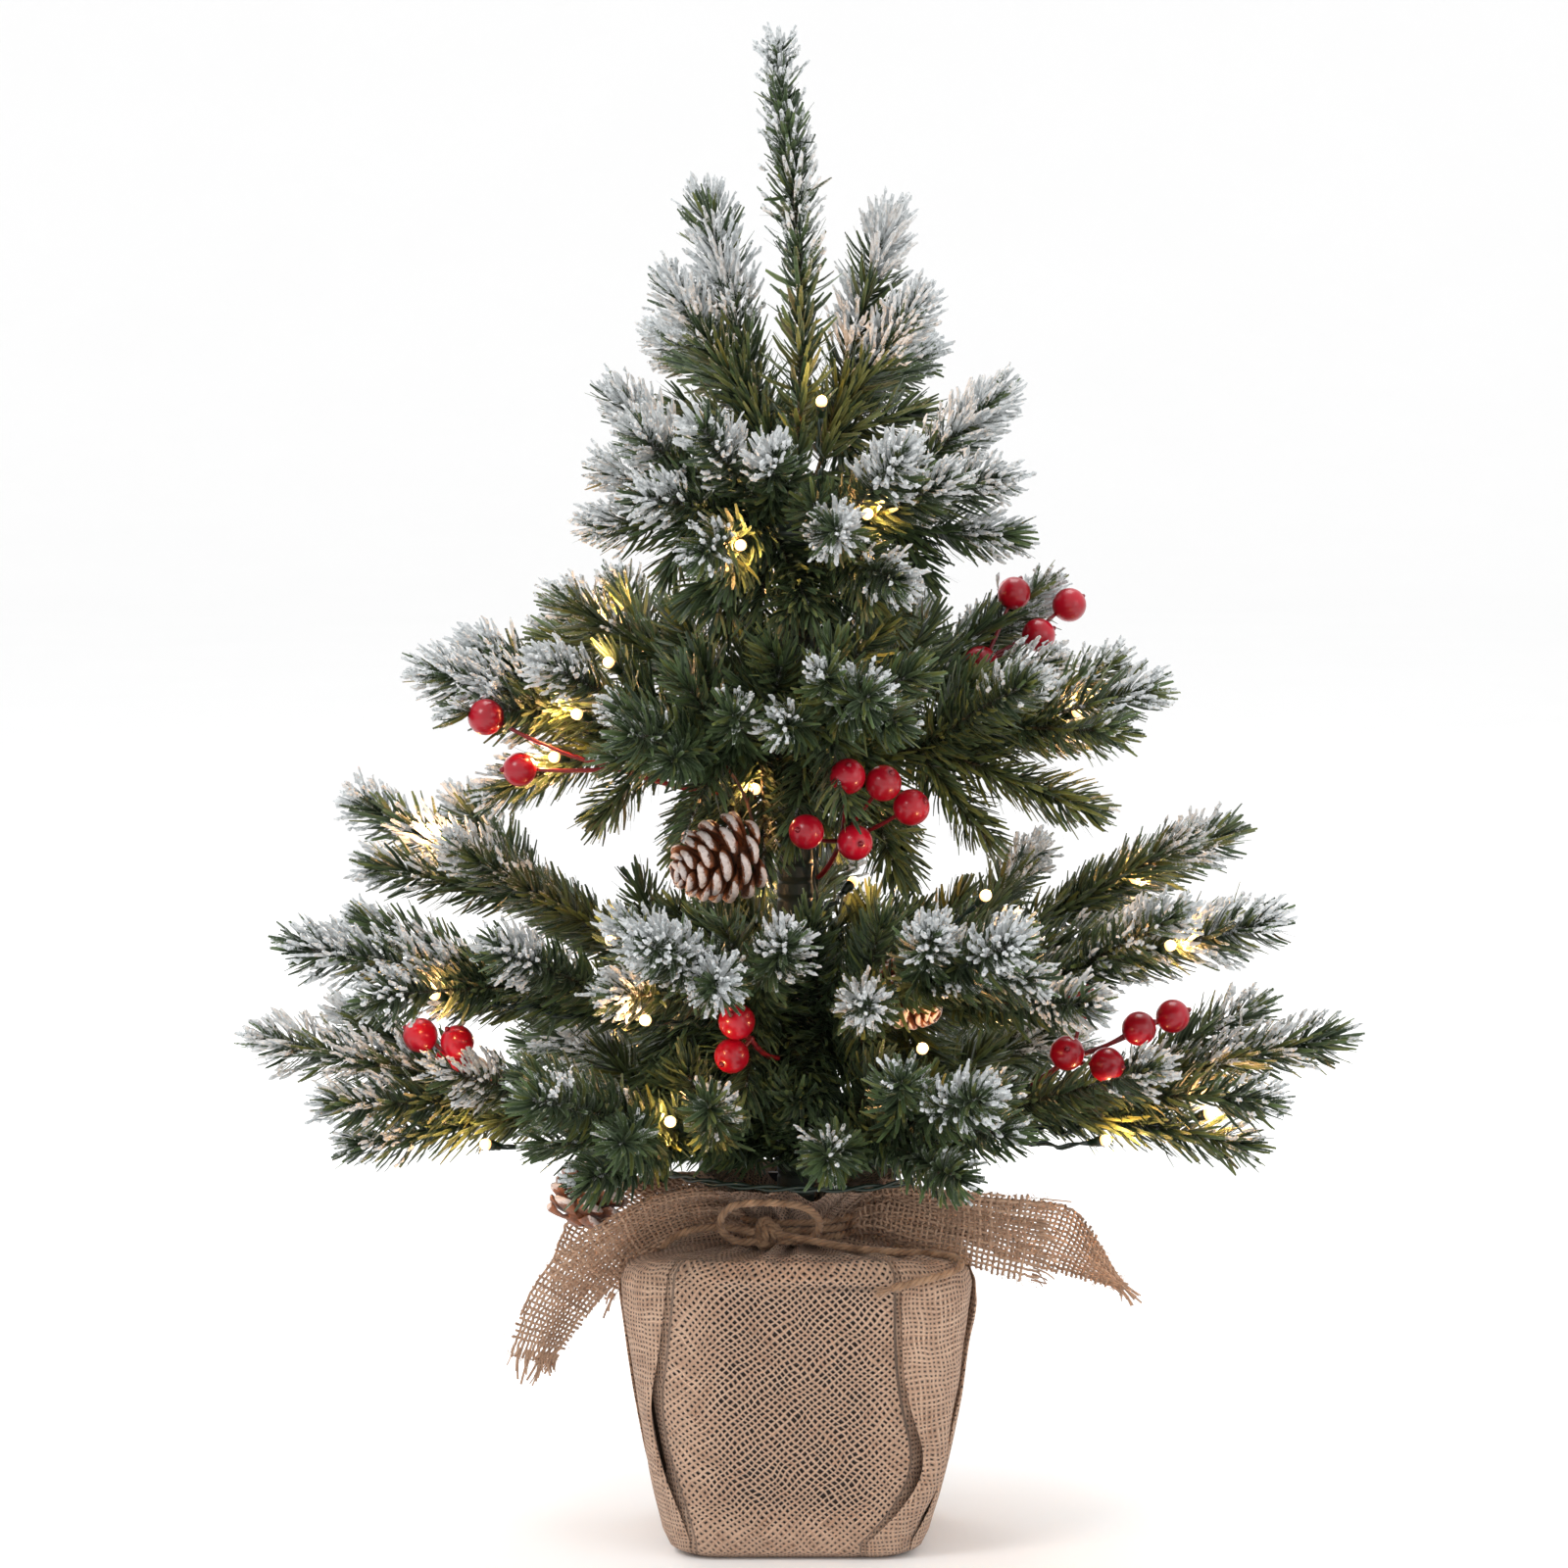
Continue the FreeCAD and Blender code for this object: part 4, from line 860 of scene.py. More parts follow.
def cloth_row(z):
    """Places round the pot, how proud the cloth stands there and how much painted shade it gets, at one height.
    """
    half, corner = pot_size(z)
    whole = 4 * (2 * (half - corner) + corner * math.pi / 2)
    folds = [fold_place(number, z, whole) for number in range(len(FOLDS))]
    shades = [np.interp(z, [0, 30, 60, 90, 118], shade) for shade in FOLD_SHADE]
    places, proud, kind, painted_shade = [], [], [], []
    for i, (q, side, edge, depth) in enumerate(folds):
        profile = fold_profile(edge, depth)
        if side < 0:
            profile = profile[::-1] * arr([-1, 1])
        places.append(q + profile[:, 0])
        proud.append(profile[:, 1])
        kind.append(np.full(len(profile), -1))
        # painted shade where the cloth dips beside each fold, by how recessed the fold profile is
        painted_shade.append(np.clip(1 - (profile[:, 1] + 1.1) / (edge * 0.9 + 1.1), 0, 1) * shades[i] * 0.55)
        q2, side2, edge2, _ = folds[(i + 1) % len(folds)]
        if i + 1 == len(folds):
            q2 = q2 + whole
        span = (FOLDS[(i + 1) % len(FOLDS)][1][-1] - FOLDS[i][1][-1]) % WIDEST
        start = q + (1.8 if side > 0 else 3.0)
        stop = q2 - (3.0 if side2 > 0 else 1.8)
        count = max(8, int(span / 1.15))
        spots = np.linspace(start, stop, count + 2)[1:-1]
        near, far = spots - q, q2 - spots
        rise = edge * 1.08 * np.exp(-near / 16.0) if side > 0 else -0.5 * np.exp(-near / 6.0)
        rise = rise + (edge2 * 1.08 * np.exp(-far / 16.0) if side2 < 0 else -0.5 * np.exp(-far / 6.0))
        if i == 3:
            rise = rise + 3.4 * np.sin(math.pi * near / (near + far)) * smooth(4, 30, z)
        places.append(spots)
        proud.append(rise)
        kind.append(np.full(count, i))
        # painted shade: two pleat bands darker towards one side to look rolled, and a dark band beside each
        # overlapping fold edge
        low = np.full(count, 0.0)
        if i in (1, 3):
            across = near / (near + far)
            low = 0.30 * smooth(0.45, 1.0, across if i == 3 else 1 - across)
        if side < 0:
            low = np.maximum(low, 0.42 * shades[i] * np.exp(-near / 3.6))
        if side2 > 0:
            low = np.maximum(low, 0.42 * shades[(i + 1) % len(FOLDS)] * np.exp(-far / 3.6))
        painted_shade.append(low)
    return np.concatenate(places), np.concatenate(proud), np.concatenate(kind), np.concatenate(painted_shade)


def wrapped_cloth():
    """The cloth from under the pot, up its sides, over the shoulder to the neck and collar."""
    heights = np.linspace(0.2, 118, 104)
    rows, all_q, all_painted_shade = [], [], []
    for z in heights:
        half, corner = pot_size(z)
        q, rise, kind, painted_shade = cloth_row(z)
        swell = 0.7 * ripple(q / 34 + z / 60, 5) * smooth(4, 40, z) * (1 - smooth(100, 118, z))
        wrinkle = 0.22 * ripple(q / 7 + z / 26, 8) * smooth(60, 112, z)
        slack = 0.45 * np.sin((q + z * 0.9) / 13.0) * smooth(10, 60, z) * (1 - smooth(80, 110, z))
        x, y, ox, oy = around(q, half, corner)
        lip = 3.6 * math.exp(-((z - 116.4) / 2.0) ** 2) * smooth(40, 30, np.abs(q - 3))
        # painted shadow: a dark line under the front lip
        painted_shade = np.maximum(painted_shade, 0.9 * math.exp(-((z - 112.6) / 1.2) ** 2) * smooth(38, 30, np.abs(q - 3))
                          * smooth(-14, 24, q))
        push = rise + swell + wrinkle + slack + lip
        push = push * (0.35 * smooth(-1.0, 10, z) + 0.65 * smooth(4, 40, z))
        rows.append(np.stack([x + ox * push, y + oy * push, np.full(len(q), z)], -1))
        all_q.append(q)
        all_painted_shade.append(painted_shade)
    rows, all_q, all_painted_shade = np.array(rows), np.array(all_q), np.array(all_painted_shade)
    _, _, kind, _ = cloth_row(118)
    edge = rows[-1]
    angle = np.arctan2(edge[:, 0], -edge[:, 1])
    edge_r = np.hypot(edge[:, 0], edge[:, 1])
    way = edge[:, :2] / edge_r[:, None]
    # shoulder: from the top edge inwards, with gathers that grow towards the neck
    gathers = np.sin(angle * 17 + 1.6 * ripple(angle * 2, 21)) * 0.65 + 0.45 * np.sin(angle * 31 + 2.0)
    front = smooth(0.55, 0.9, np.cos(angle))
    over, over_painted_shade = [], []
    for share in np.linspace(0.035, 1, 30):
        radius = edge_r * (1 - share) + NECK_R * share
        z = 118 + 2.7 * math.sin(min(1.0, share * 5) * math.pi / 2) + 1.2 * share
        ridge = gathers * (0.4 + 2.6 * share ** 1.3)
        lip = front * 2.6 * math.exp(-((share - 0.10) / 0.07) ** 2)
        drape = front * 1.6 * math.exp(-((share - 0.34) / 0.10) ** 2) * (1 + 0.5 * np.sin(angle * 6 + 1))
        over.append(np.stack([way[:, 0] * radius, way[:, 1] * radius,
                              np.full(len(edge), z) + np.maximum(ridge, -0.9) + lip + drape], -1))
        # painted shade in the valleys of the gathers, deeper towards the neck, and a painted shadow line just
        # inside the front lip
        over_painted_shade.append(np.clip(0.5 - 0.45 * gathers, 0, 1) * share ** 0.7 * 0.8
                         + front * 0.6 * math.exp(-((share - 0.21) / 0.05) ** 2))
    flare = 0.5 + 0.5 * np.cos(angle * 2 + 0.5)
    for z in np.linspace(122.5, 146, 18):
        up = (z - 122.5) / 23.5
        pinch = math.exp(-((z - 128) / 3.2) ** 2)
        radius = NECK_R + 1.4 * (1 - pinch) + 20 * smooth(0.36, 1.15, up) * (0.85 + 0.3 * flare)
        radius = radius + gathers * (1.2 + 3.0 * up) * (1 - 0.5 * pinch)
        over.append(np.stack([way[:, 0] * radius, way[:, 1] * radius,
                              z + 1.8 * up * ripple(angle * 3, 33)], -1))
        # painted shade in the valleys of the collar's gathers, darker lower down
        over_painted_shade.append(np.clip(0.5 - 0.4 * gathers, 0, 1) * (0.9 - 0.5 * up))
    under = []
    for share in (0.55, 0.8):
        low = rows[0].copy()
        low[:, :2] *= share
        low[:, 2] = 0.3 + 0.2 * (1 - share)
        under.append(low)
    grid = np.concatenate([np.array(under), rows, np.array(over)])
    n_rows, n_cols, _ = grid.shape
    step = np.linalg.norm(np.diff(grid, axis=0), axis=2).mean(axis=1)
    reach = np.concatenate([[0], np.cumsum(step)])
    q_all = np.concatenate([np.repeat(all_q[:1], 2, 0), all_q, np.repeat(all_q[-1:], len(over), 0)])
    painted_shade = np.concatenate([np.repeat(all_painted_shade[:1], 2, 0), all_painted_shade, np.array(over_painted_shade)])
    # the weave lies on the bias on the front and back, and upright between the folds at the sides
    bias = np.isin(kind, (2, 6))
    v_all = np.repeat(reach[:, None], n_cols, 1) + 4.0 * np.sin(q_all / 30.0 + 0.6)
    wu = np.where(bias, (q_all + v_all) * 0.7071 / WEAVE, (q_all + 0.06 * v_all) / CLOSE_WEAVE)
    wv = np.where(bias, (v_all - q_all) * 0.7071 / WEAVE, v_all / (CLOSE_WEAVE * 1.3))
    level = np.arange(n_rows)[:, None]
    openness = np.where(bias, 1.0, 0.24)[None, :] * smooth(0, 26, level)
    openness = openness * (1 - 0.45 * smooth(96, 112, level))
    side_tight = np.where(bias, 1 - 0.5 * smooth(22, 50, np.abs(q_all)), 1)
    build = Builder()
    i = np.arange(n_rows - 1)[:, None] * n_cols
    j = np.arange(n_cols)[None, :]
    m = (j + 1) % n_cols
    quads = np.stack([i + j, i + m, i + n_cols + m, i + n_cols + j], -1).reshape(-1, 4)
    build.add(grid, [quads], wu=wu.reshape(-1), wv=wv.reshape(-1), painted_shade=painted_shade.reshape(-1),
              open=(openness * side_tight).reshape(-1))
    return build.object("burlap_cloth", [BURLAP])


WEAVE, CLOSE_WEAVE = 2.25, 1.6
cloth = wrapped_cloth()
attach(cloth, "base")
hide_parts("burlap_wrap")


def flap_surface(spec, seed):
    """A function of (u, v) in 0..1 giving points of a free corner of cloth, in mm."""
    direction, start, upper, lower = spec
    a = math.radians(direction)
    out, across = arr([math.cos(a), math.sin(a)]), arr([-math.sin(a), math.cos(a)])
    top, low = rounded(upper, 60), rounded(lower, 60)

    def surface(u, v):
        shares = np.linspace(0, 1, 60)
        edge = [np.interp(u, shares, e[:, k]) for e in (low, top) for k in (0, 1)]
        reach = edge[0] * (1 - v) + edge[2] * v
        z = edge[1] * (1 - v) + edge[3] * v
        curl = (v - 0.5) * 9 * smooth(0.05, 0.5, u) + 4.2 * np.sin(u * 5.0 + seed) * (0.3 + v)
        curl = curl + 1.5 * np.sin(v * 7 + u * 4 + seed)
        bunch = 3.0 * np.sin(v * 16 + seed) * (1 - smooth(0.0, 0.35, u))
        off = curl + bunch
        x = start[0] + out[0] * reach + across[0] * off
        y = start[1] + out[1] * reach + across[1] * off
        return np.stack([x, y, z], -1)

    return surface


def woven(name, surface, seed, pitch=2.25, doubled=0.45):
    """Real threads over a surface, with frayed outer edges."""
    rng = np.random.default_rng(seed)
    grid = surface(*np.meshgrid(np.linspace(0, 1, 40), np.linspace(0, 1, 20), indexing="ij"))
    long = np.linalg.norm(np.diff(grid, axis=0), axis=2).sum(axis=0).mean()
    wide = np.linalg.norm(np.diff(grid, axis=1), axis=2).sum(axis=1).max()
    n_long, n_cross = int(wide / pitch), int(long / pitch)
    build = Builder()

    def lay(us, vs, lift, radius, tone):
        p = surface(us, vs)
        du = surface(np.minimum(us + 0.01, 1.03), vs) - surface(us - 0.01, vs)
        dv = surface(us, np.minimum(vs + 0.02, 1.05)) - surface(us, vs - 0.02)
        normal = unit(np.cross(du, dv))
        p = p + normal * lift[..., None]
        points, faces = tubes(p, radius, 5)
        build.add(points, faces, tone=np.repeat(tone, p.shape[1] * 5))

    for layer, (u_from, u_to, gap) in enumerate([(0.0, 1.0, 0.0), (0.0, doubled, 1.5)]):
        count = n_cross * 2
        u = np.linspace(u_from, u_to, count)[None, :]
        for k in range(n_long + 1):
            v = k / n_long
            frayed = min(k, n_long - k) < 1
            last = 1.0 + (rng.uniform(0.0, 0.05) if not frayed else -rng.uniform(0.05, 0.3))
            uu = u_from + (np.minimum(u_to, 1.0) * last - u_from) * (u - u_from) / (u_to - u_from)
            wander = 0.10 / n_long * ripple(uu * 30, seed + k)
            lift = 0.42 * np.cos(uu * n_cross * np.pi + np.pi * k) + gap
            tone = rng.uniform(0.1, 1.0, 1)
            lay(uu, np.full_like(uu, v) + wander, lift, rng.uniform(0.48, 0.66), tone)
        crosses = int(n_cross * (u_to - u_from))
        for k in range(1, crosses - (2 if layer == 0 else 0)):
            ends = rng.uniform(0.0, 0.035, 2)
            v = np.linspace(-ends[0], 1 + ends[1], n_long * 2 + 2)[None, :]
            uu = np.full_like(v, u_from + (u_to - u_from) * k / crosses)
            uu = uu + 0.10 / n_cross * ripple(v * 20, seed + 50 + k)
            lift = -0.42 * np.cos(v * n_long * np.pi + np.pi * k) + gap
            lay(uu, v, lift, rng.uniform(0.48, 0.66), rng.uniform(0.1, 1.0, 1))
    # warp ends left hanging where the weft has come away
    count = 34
    v = rng.uniform(0, 1, count)
    base = surface(np.full(count, 0.97), v)
    way = unit(surface(np.full(count, 1.0), v) - surface(np.full(count, 0.9), v))
    s = np.linspace(0, 1, 7)[None, :, None]
    reach = rng.uniform(3.0, 12.0, count)[:, None, None]
    bend = unit(rng.normal(0, 1, (count, 3)) + arr([0, 0, -0.8]))[:, None]
    ends = base[:, None] + way[:, None] * s * reach + bend * s * s * reach * 0.45
    points, faces = tubes(ends, rng.uniform(0.22, 0.5, (count, 1)) * np.ones((count, 7)), 5)
    build.add(points, faces, tone=np.repeat(rng.uniform(0.3, 1.0, count), 35))
    # loose fibres
    count = 320
    u, v = rng.uniform(0.1, 1.0, count), rng.uniform(0, 1, count)
    edge = rng.uniform(0, 1, count)
    v = np.where(edge < 0.35, 0.0, np.where(edge < 0.7, 1.0, v))
    u = np.where(edge > 0.85, 1.0, u)
    p = surface(u, v)
    way = unit(rng.normal(0, 1, (count, 3)) + (surface(np.minimum(u + .02, 1), v) - p) * 0.3)
    bend = unit(rng.normal(0, 1, (count, 3)))
    reach = rng.uniform(1.5, 6.0, count)
    s = np.linspace(0, 1, 4)[None, :, None]
    lines = p[:, None] + way[:, None] * (s * reach[:, None, None]) + bend[:, None] * (s * s * 0.4 * reach[:, None, None])
    points, faces = tubes(lines, 0.09, 3)
    build.add(points, faces, tone=0.9)
    return build.object(name, [JUTE])


for number, (name, spec) in enumerate(FLAPS.items()):
    piece = woven(name, flap_surface(spec, number * 1.7), 40 + number)
    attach(piece, "base")


# ------------------------------------------------------------------ twine and cable
def spline_points(name, route, spacing=1.0):
    """Points along the smooth line of a route, in mm."""
    curve = bpy.data.curves.new(name, "CURVE")
    curve.dimensions = "3D"
    curve.resolution_u = 24
    line = curve.splines.new("NURBS")
    line.points.add(len(route) - 1)
    for point, spot in zip(line.points, route):
        point.co = (spot[0] * MM, spot[1] * MM, spot[2] * MM, 1)
    line.order_u = 3
    line.use_endpoint_u = True
    holder = bpy.data.objects.new(name, curve)
    scene.collection.objects.link(holder)
    mesh = bpy.data.meshes.new_from_object(holder)
    points = arr([v.co[:] for v in mesh.vertices]) / MM
    bpy.data.objects.remove(holder)
    bpy.data.curves.remove(curve)
    bpy.data.meshes.remove(mesh)
    length = np.linalg.norm(np.diff(points, axis=0), axis=1).sum()
    return along_curve(points, np.linspace(0, 1, max(8, int(length / spacing)))), length


def hairs(build, line, radius, count, seed):
    """Short loose fibres standing off a line (k, 3)."""
    rng = np.random.default_rng(seed)
    pick = rng.integers(0, len(line), count)
    out = unit(rng.normal(0, 1, (count, 3)))
    bend = unit(rng.normal(0, 1, (count, 3)))
    size = rng.uniform(0.8, 3.2, count)[:, None, None]
    s = np.linspace(0, 1, 4)[None, :, None]
    fibres = line[pick, None] + out[:, None] * (radius + s * size) + bend[:, None] * s * s * 0.5 * size
    points, faces = tubes(fibres, 0.07, 3)
    build.add(points, faces, tone=0.9)


def strands(build, line, offset, radius, pitch, count=3, seed=1):
    """Strands twisted round a line (k, 3)."""
    length = np.linalg.norm(np.diff(line, axis=0), axis=1)
    reach = np.concatenate([[0], np.cumsum(length)])
    tangent = unit(np.gradient(line, axis=0))
    side, up = crosswise(tangent, np.abs(tangent[:, 2:3]) > STEEP)
    lines = []
    for n in range(count):
        a = reach / pitch * 2 * np.pi + 2 * np.pi * n / count
        lines.append(line + (side * np.cos(a)[:, None] + up * np.sin(a)[:, None]) * offset)
    points, faces = tubes(np.array(lines), radius, 7)
    tone = 0.5 + 0.35 * ripple(np.repeat(np.tile(reach, count), 7) / 6, seed)
    build.add(points, faces, tone=np.clip(tone, 0, 1))


def twine_piece(name, route):
    line, length = spline_points(name, route, 0.8)
    build = Builder()
    strands(build, line, 0.82, 0.86, 9.0, 3, seed=len(name))
    piece = build.object("cord_" + name, [TWINE])
    fuzz = Builder()
    hairs(fuzz, line, 0.86, int(length * 1.6), len(name))
    if name != "twine_bow_loop":
        # a frayed end
        tip, way = line[-1], unit(line[-1] - line[-3])
        rng = np.random.default_rng(7)
        s = np.linspace(0, 1, 5)[None, :, None]
        spread = rng.normal(0, 0.55, (26, 1, 3))
        ends = tip - way + way * s * 6.0 + spread * (0.3 + s * 2.2)
        points, faces = tubes(ends, 0.17, 4)
        fuzz.add(points, faces, tone=0.8)
    fuzz_piece = fuzz.object("fuzz_" + name, [TWINE])
    for each in (piece, fuzz_piece):
        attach(each, "base")
    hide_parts(name)


for name, route in TWINE_ROUTES.items():
    twine_piece(name, route)

build = Builder()
for n in range(3):
    turn = np.linspace(0, 2 * np.pi, 120)
    radius = 24.6 + 0.5 * ripple(turn * 2, 60 + n)
    z = 128 + (n - 1) * 2.9 + 0.5 * np.sin(turn + n)
    ring = np.stack([radius * np.cos(turn), radius * np.sin(turn), z], -1)
    ring[-1] = ring[0]
    strands(build, ring, 0.82, 0.86, 9.1, 3, seed=70 + n)
    hairs(build, ring, 0.86, 90, 70 + n)
for n in range(4):
    turn = np.linspace(0.3, 5.9, 40)
    tilt = n * 0.8
    loop = np.stack([-11 + 4.6 * np.cos(turn) * math.cos(tilt) - 1.2 * math.sin(tilt),
                     -28.5 - 1.8 * np.sin(turn * 2 + tilt) - 1.2,
                     127.5 + 4.2 * np.sin(turn) + 1.2 * math.sin(tilt * 2)], -1)
    strands(build, loop, 0.82, 0.86, 9.0, 3, seed=90 + n)
    hairs(build, loop, 0.86, 16, 90 + n)
piece = build.object("twine_ties", [TWINE])
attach(piece, "base")
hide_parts("twine_tie")

cable_line, cable_length = spline_points("light_cable_line", CABLE_ROUTE, 1.5)
build = Builder()
strands(build, cable_line, 0.82, 0.74, 26.0, 2, seed=3)
piece = build.object("cord_light_cable", [CABLE])
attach(piece, "base")
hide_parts("light_cable")


# ------------------------------------------------------------------ lamps
def lamp(holders, bulbs, centre, way):
    """A moulded holder and a pointed bulb, 8 mm long in all."""
    centre, way = arr(centre), unit(arr(way))
    s = arr([-5.2, -4.6, -2.2, -1.9, 0.2, 0.6])
    r = arr([0.9, 1.6, 1.7, 2.15, 2.15, 1.9])
    points, faces = tubes((centre + way * s[:, None])[None], r[None], 12)
    holders.add(points, faces)
    s = arr([0.2, 1.4, 2.8, 3.8, 4.4])
    r = arr([1.85, 2.3, 2.2, 1.5, 0.4])
    points, faces = tubes((centre + way * s[:, None])[None], r[None], 12)
    bulbs.add(points, faces, tip=np.repeat(arr([0.0, 0.6, 1.0, 0.7, 0.1]), 12))


def lead(build, start, end, seed, sag=6.0):
    """Two thin wires from a start to a lamp, with a little slack."""
    rng = np.random.default_rng(seed)
    t = np.linspace(0, 1, max(8, int(np.linalg.norm(end - start) / 2.5)))[:, None]
    line = start + (end - start) * t
    line = line + arr([0, 0, -1]) * (4 * t * (1 - t)) * sag * 0.3
    line = line + np.stack([ripple(t[:, 0] * 9, seed + k) for k in range(3)], -1) * (4 * t * (1 - t)) * 1.6
    strands(build, line, 0.62, 0.6, rng.uniform(14, 22), 2, seed=seed)


def lamp_group(name, body, start, centres, stands_for=None, outward=None, seed=0):
    holders, bulbs = Builder(), Builder()
    cable = Builder()
    for k, centre in enumerate(centres):
        centre = arr(centre)
        way = unit(centre - start)
        way = unit(way + arr([0.0, -0.35, 0.25]))
        lead(cable, start, centre - way * 5, seed * 10 + k)
        lamp(holders, bulbs, centre, way)
    base = cable.object("lead_" + name, [CABLE])
    shell = holders.object("lamp_holder_" + name, [HOLDER])
    glass = bulbs.object("lamp_bulb_" + name, [GLOW])
    for piece, slot in ((base, "cable_plastic"), (shell, "cable_plastic"), (glass, "lamp")):
        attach(piece, body)
    if stands_for:
        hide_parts(stands_for)
    for k, centre in enumerate(centres):
        light = bpy.data.lights.new("glow_%s_%d" % (name, k), "POINT")
        light.energy = 0.065
        light.color = (1.0, 0.50, 0.19)
        light.shadow_soft_size = 0.002
        source = bpy.data.objects.new(light.name, light)
        way = unit(unit(arr(centre) - start) + arr([0.0, -0.35, 0.25]))
        source.location = Vector((arr(centre) + way * 7.5) * MM)
        scene.collection.objects.link(source)
        source.parent = glass


for number, (name, centres) in enumerate(LIGHTS.items()):
    root, end, _ = branch_stems(BRANCHES[name])[0]
    start = root + unit(end - root) * 14 + arr([0, 0, 2])
    lamp_group(name, name, start, centres, "lights_" + name if name in CAD_LIGHTS else None, seed=number)

build = Builder()
riser = np.stack([np.full(60, CABLE_ROUTE[-1][0]), np.full(60, CABLE_ROUTE[-1][1]),
                  np.linspace(CABLE_ROUTE[-1][2], CABLE_TOP, 60)], -1)
strands(build, riser, 0.78, 0.72, 22, 2, seed=5)
piece = build.object("trunk_riser", [CABLE])
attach(piece, "base")
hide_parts("trunk_lights")
for number, centre in enumerate(TRUNK_LIGHTS):
    start = arr([CABLE_ROUTE[-1][0], CABLE_ROUTE[-1][1], min(centre[2] - 6, CABLE_TOP - 4)])
    lamp_group("trunk_%d" % number, "base", start, [centre], seed=60 + number)


# ------------------------------------------------------------------ berries and cones
for number, (name, (body, root, berries)) in enumerate(SPRAYS.items()):
    root = arr(root)
    rng = np.random.default_rng(300 + number)
    middle = arr(berries).mean(axis=0)
    fork = root + (middle - root) * 0.55
    fruit, stems = Builder(), Builder()
    for centre in berries:
        centre = arr(centre)
        way = unit(centre - fork)
        t = np.linspace(0, 1, 12)[:, None]
        knee = fork + (centre - fork) * 0.45 + arr([0, 0, -2.0]) + rng.normal(0, 1.2, 3)
        line = fork * (1 - t) ** 2 + knee * 2 * t * (1 - t) + (centre - way * 6.0) * t ** 2
        points, faces = tubes(line[None], np.linspace(0.95, 0.75, 12)[None] , 8)
        stems.add(points, faces)
        points, faces = ball(centre, 7.0 * rng.uniform(0.96, 1.03), 28, 18, way, 0.12)
        along = ((points - centre) @ way) / 7.0
        fruit.add(points, faces, tip=smooth(0.965, 0.99, along))
        points, faces = tubes((centre + way * arr([6.4, 7.2, 8.0])[:, None])[None], arr([[1.3, 1.1, 0.5]]), 8)
        fruit.add(points, faces, tip=1.0)
    t = np.linspace(0, 1, 16)[:, None]
    line = root + (fork - root) * t + arr([0, 0, -1]) * 4 * t * (1 - t) * 2.0
    points, faces = tubes(line[None], 1.05, 8)
    stems.add(points, faces)
    points, faces = ball(fork, 1.5, 10, 6)
    stems.add(points, faces)
    fruit_piece = fruit.object("berries_" + name[12:], [BERRY])
    stem_piece = stems.object("stems_" + name[12:], [STEM])
    for piece in (fruit_piece, stem_piece):
        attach(piece, body)
    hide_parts(name)


CONE_AXES = {   # towards the tip
    "pine_cone_middle_front_left": (-0.86, -0.42, -0.22), "pine_cone_bottom_left": (0.45, 0.35, 0.8),
    "pine_cone_lower_front_right": (0.7, -0.5, -0.4), "pine_cone_lower_back": (-0.3, 0.4, -0.85)}
# rings along a scale: how far out, half width and half thickness
SCALE_SHAPE = arr([(0, .28, .30), (.2, .40, .32), (.4, .62, .36), (.6, .85, .48), (.76, 1.0, .72),
                   (.88, .94, 1.0), (.96, .70, .85), (1.0, .30, .35)])


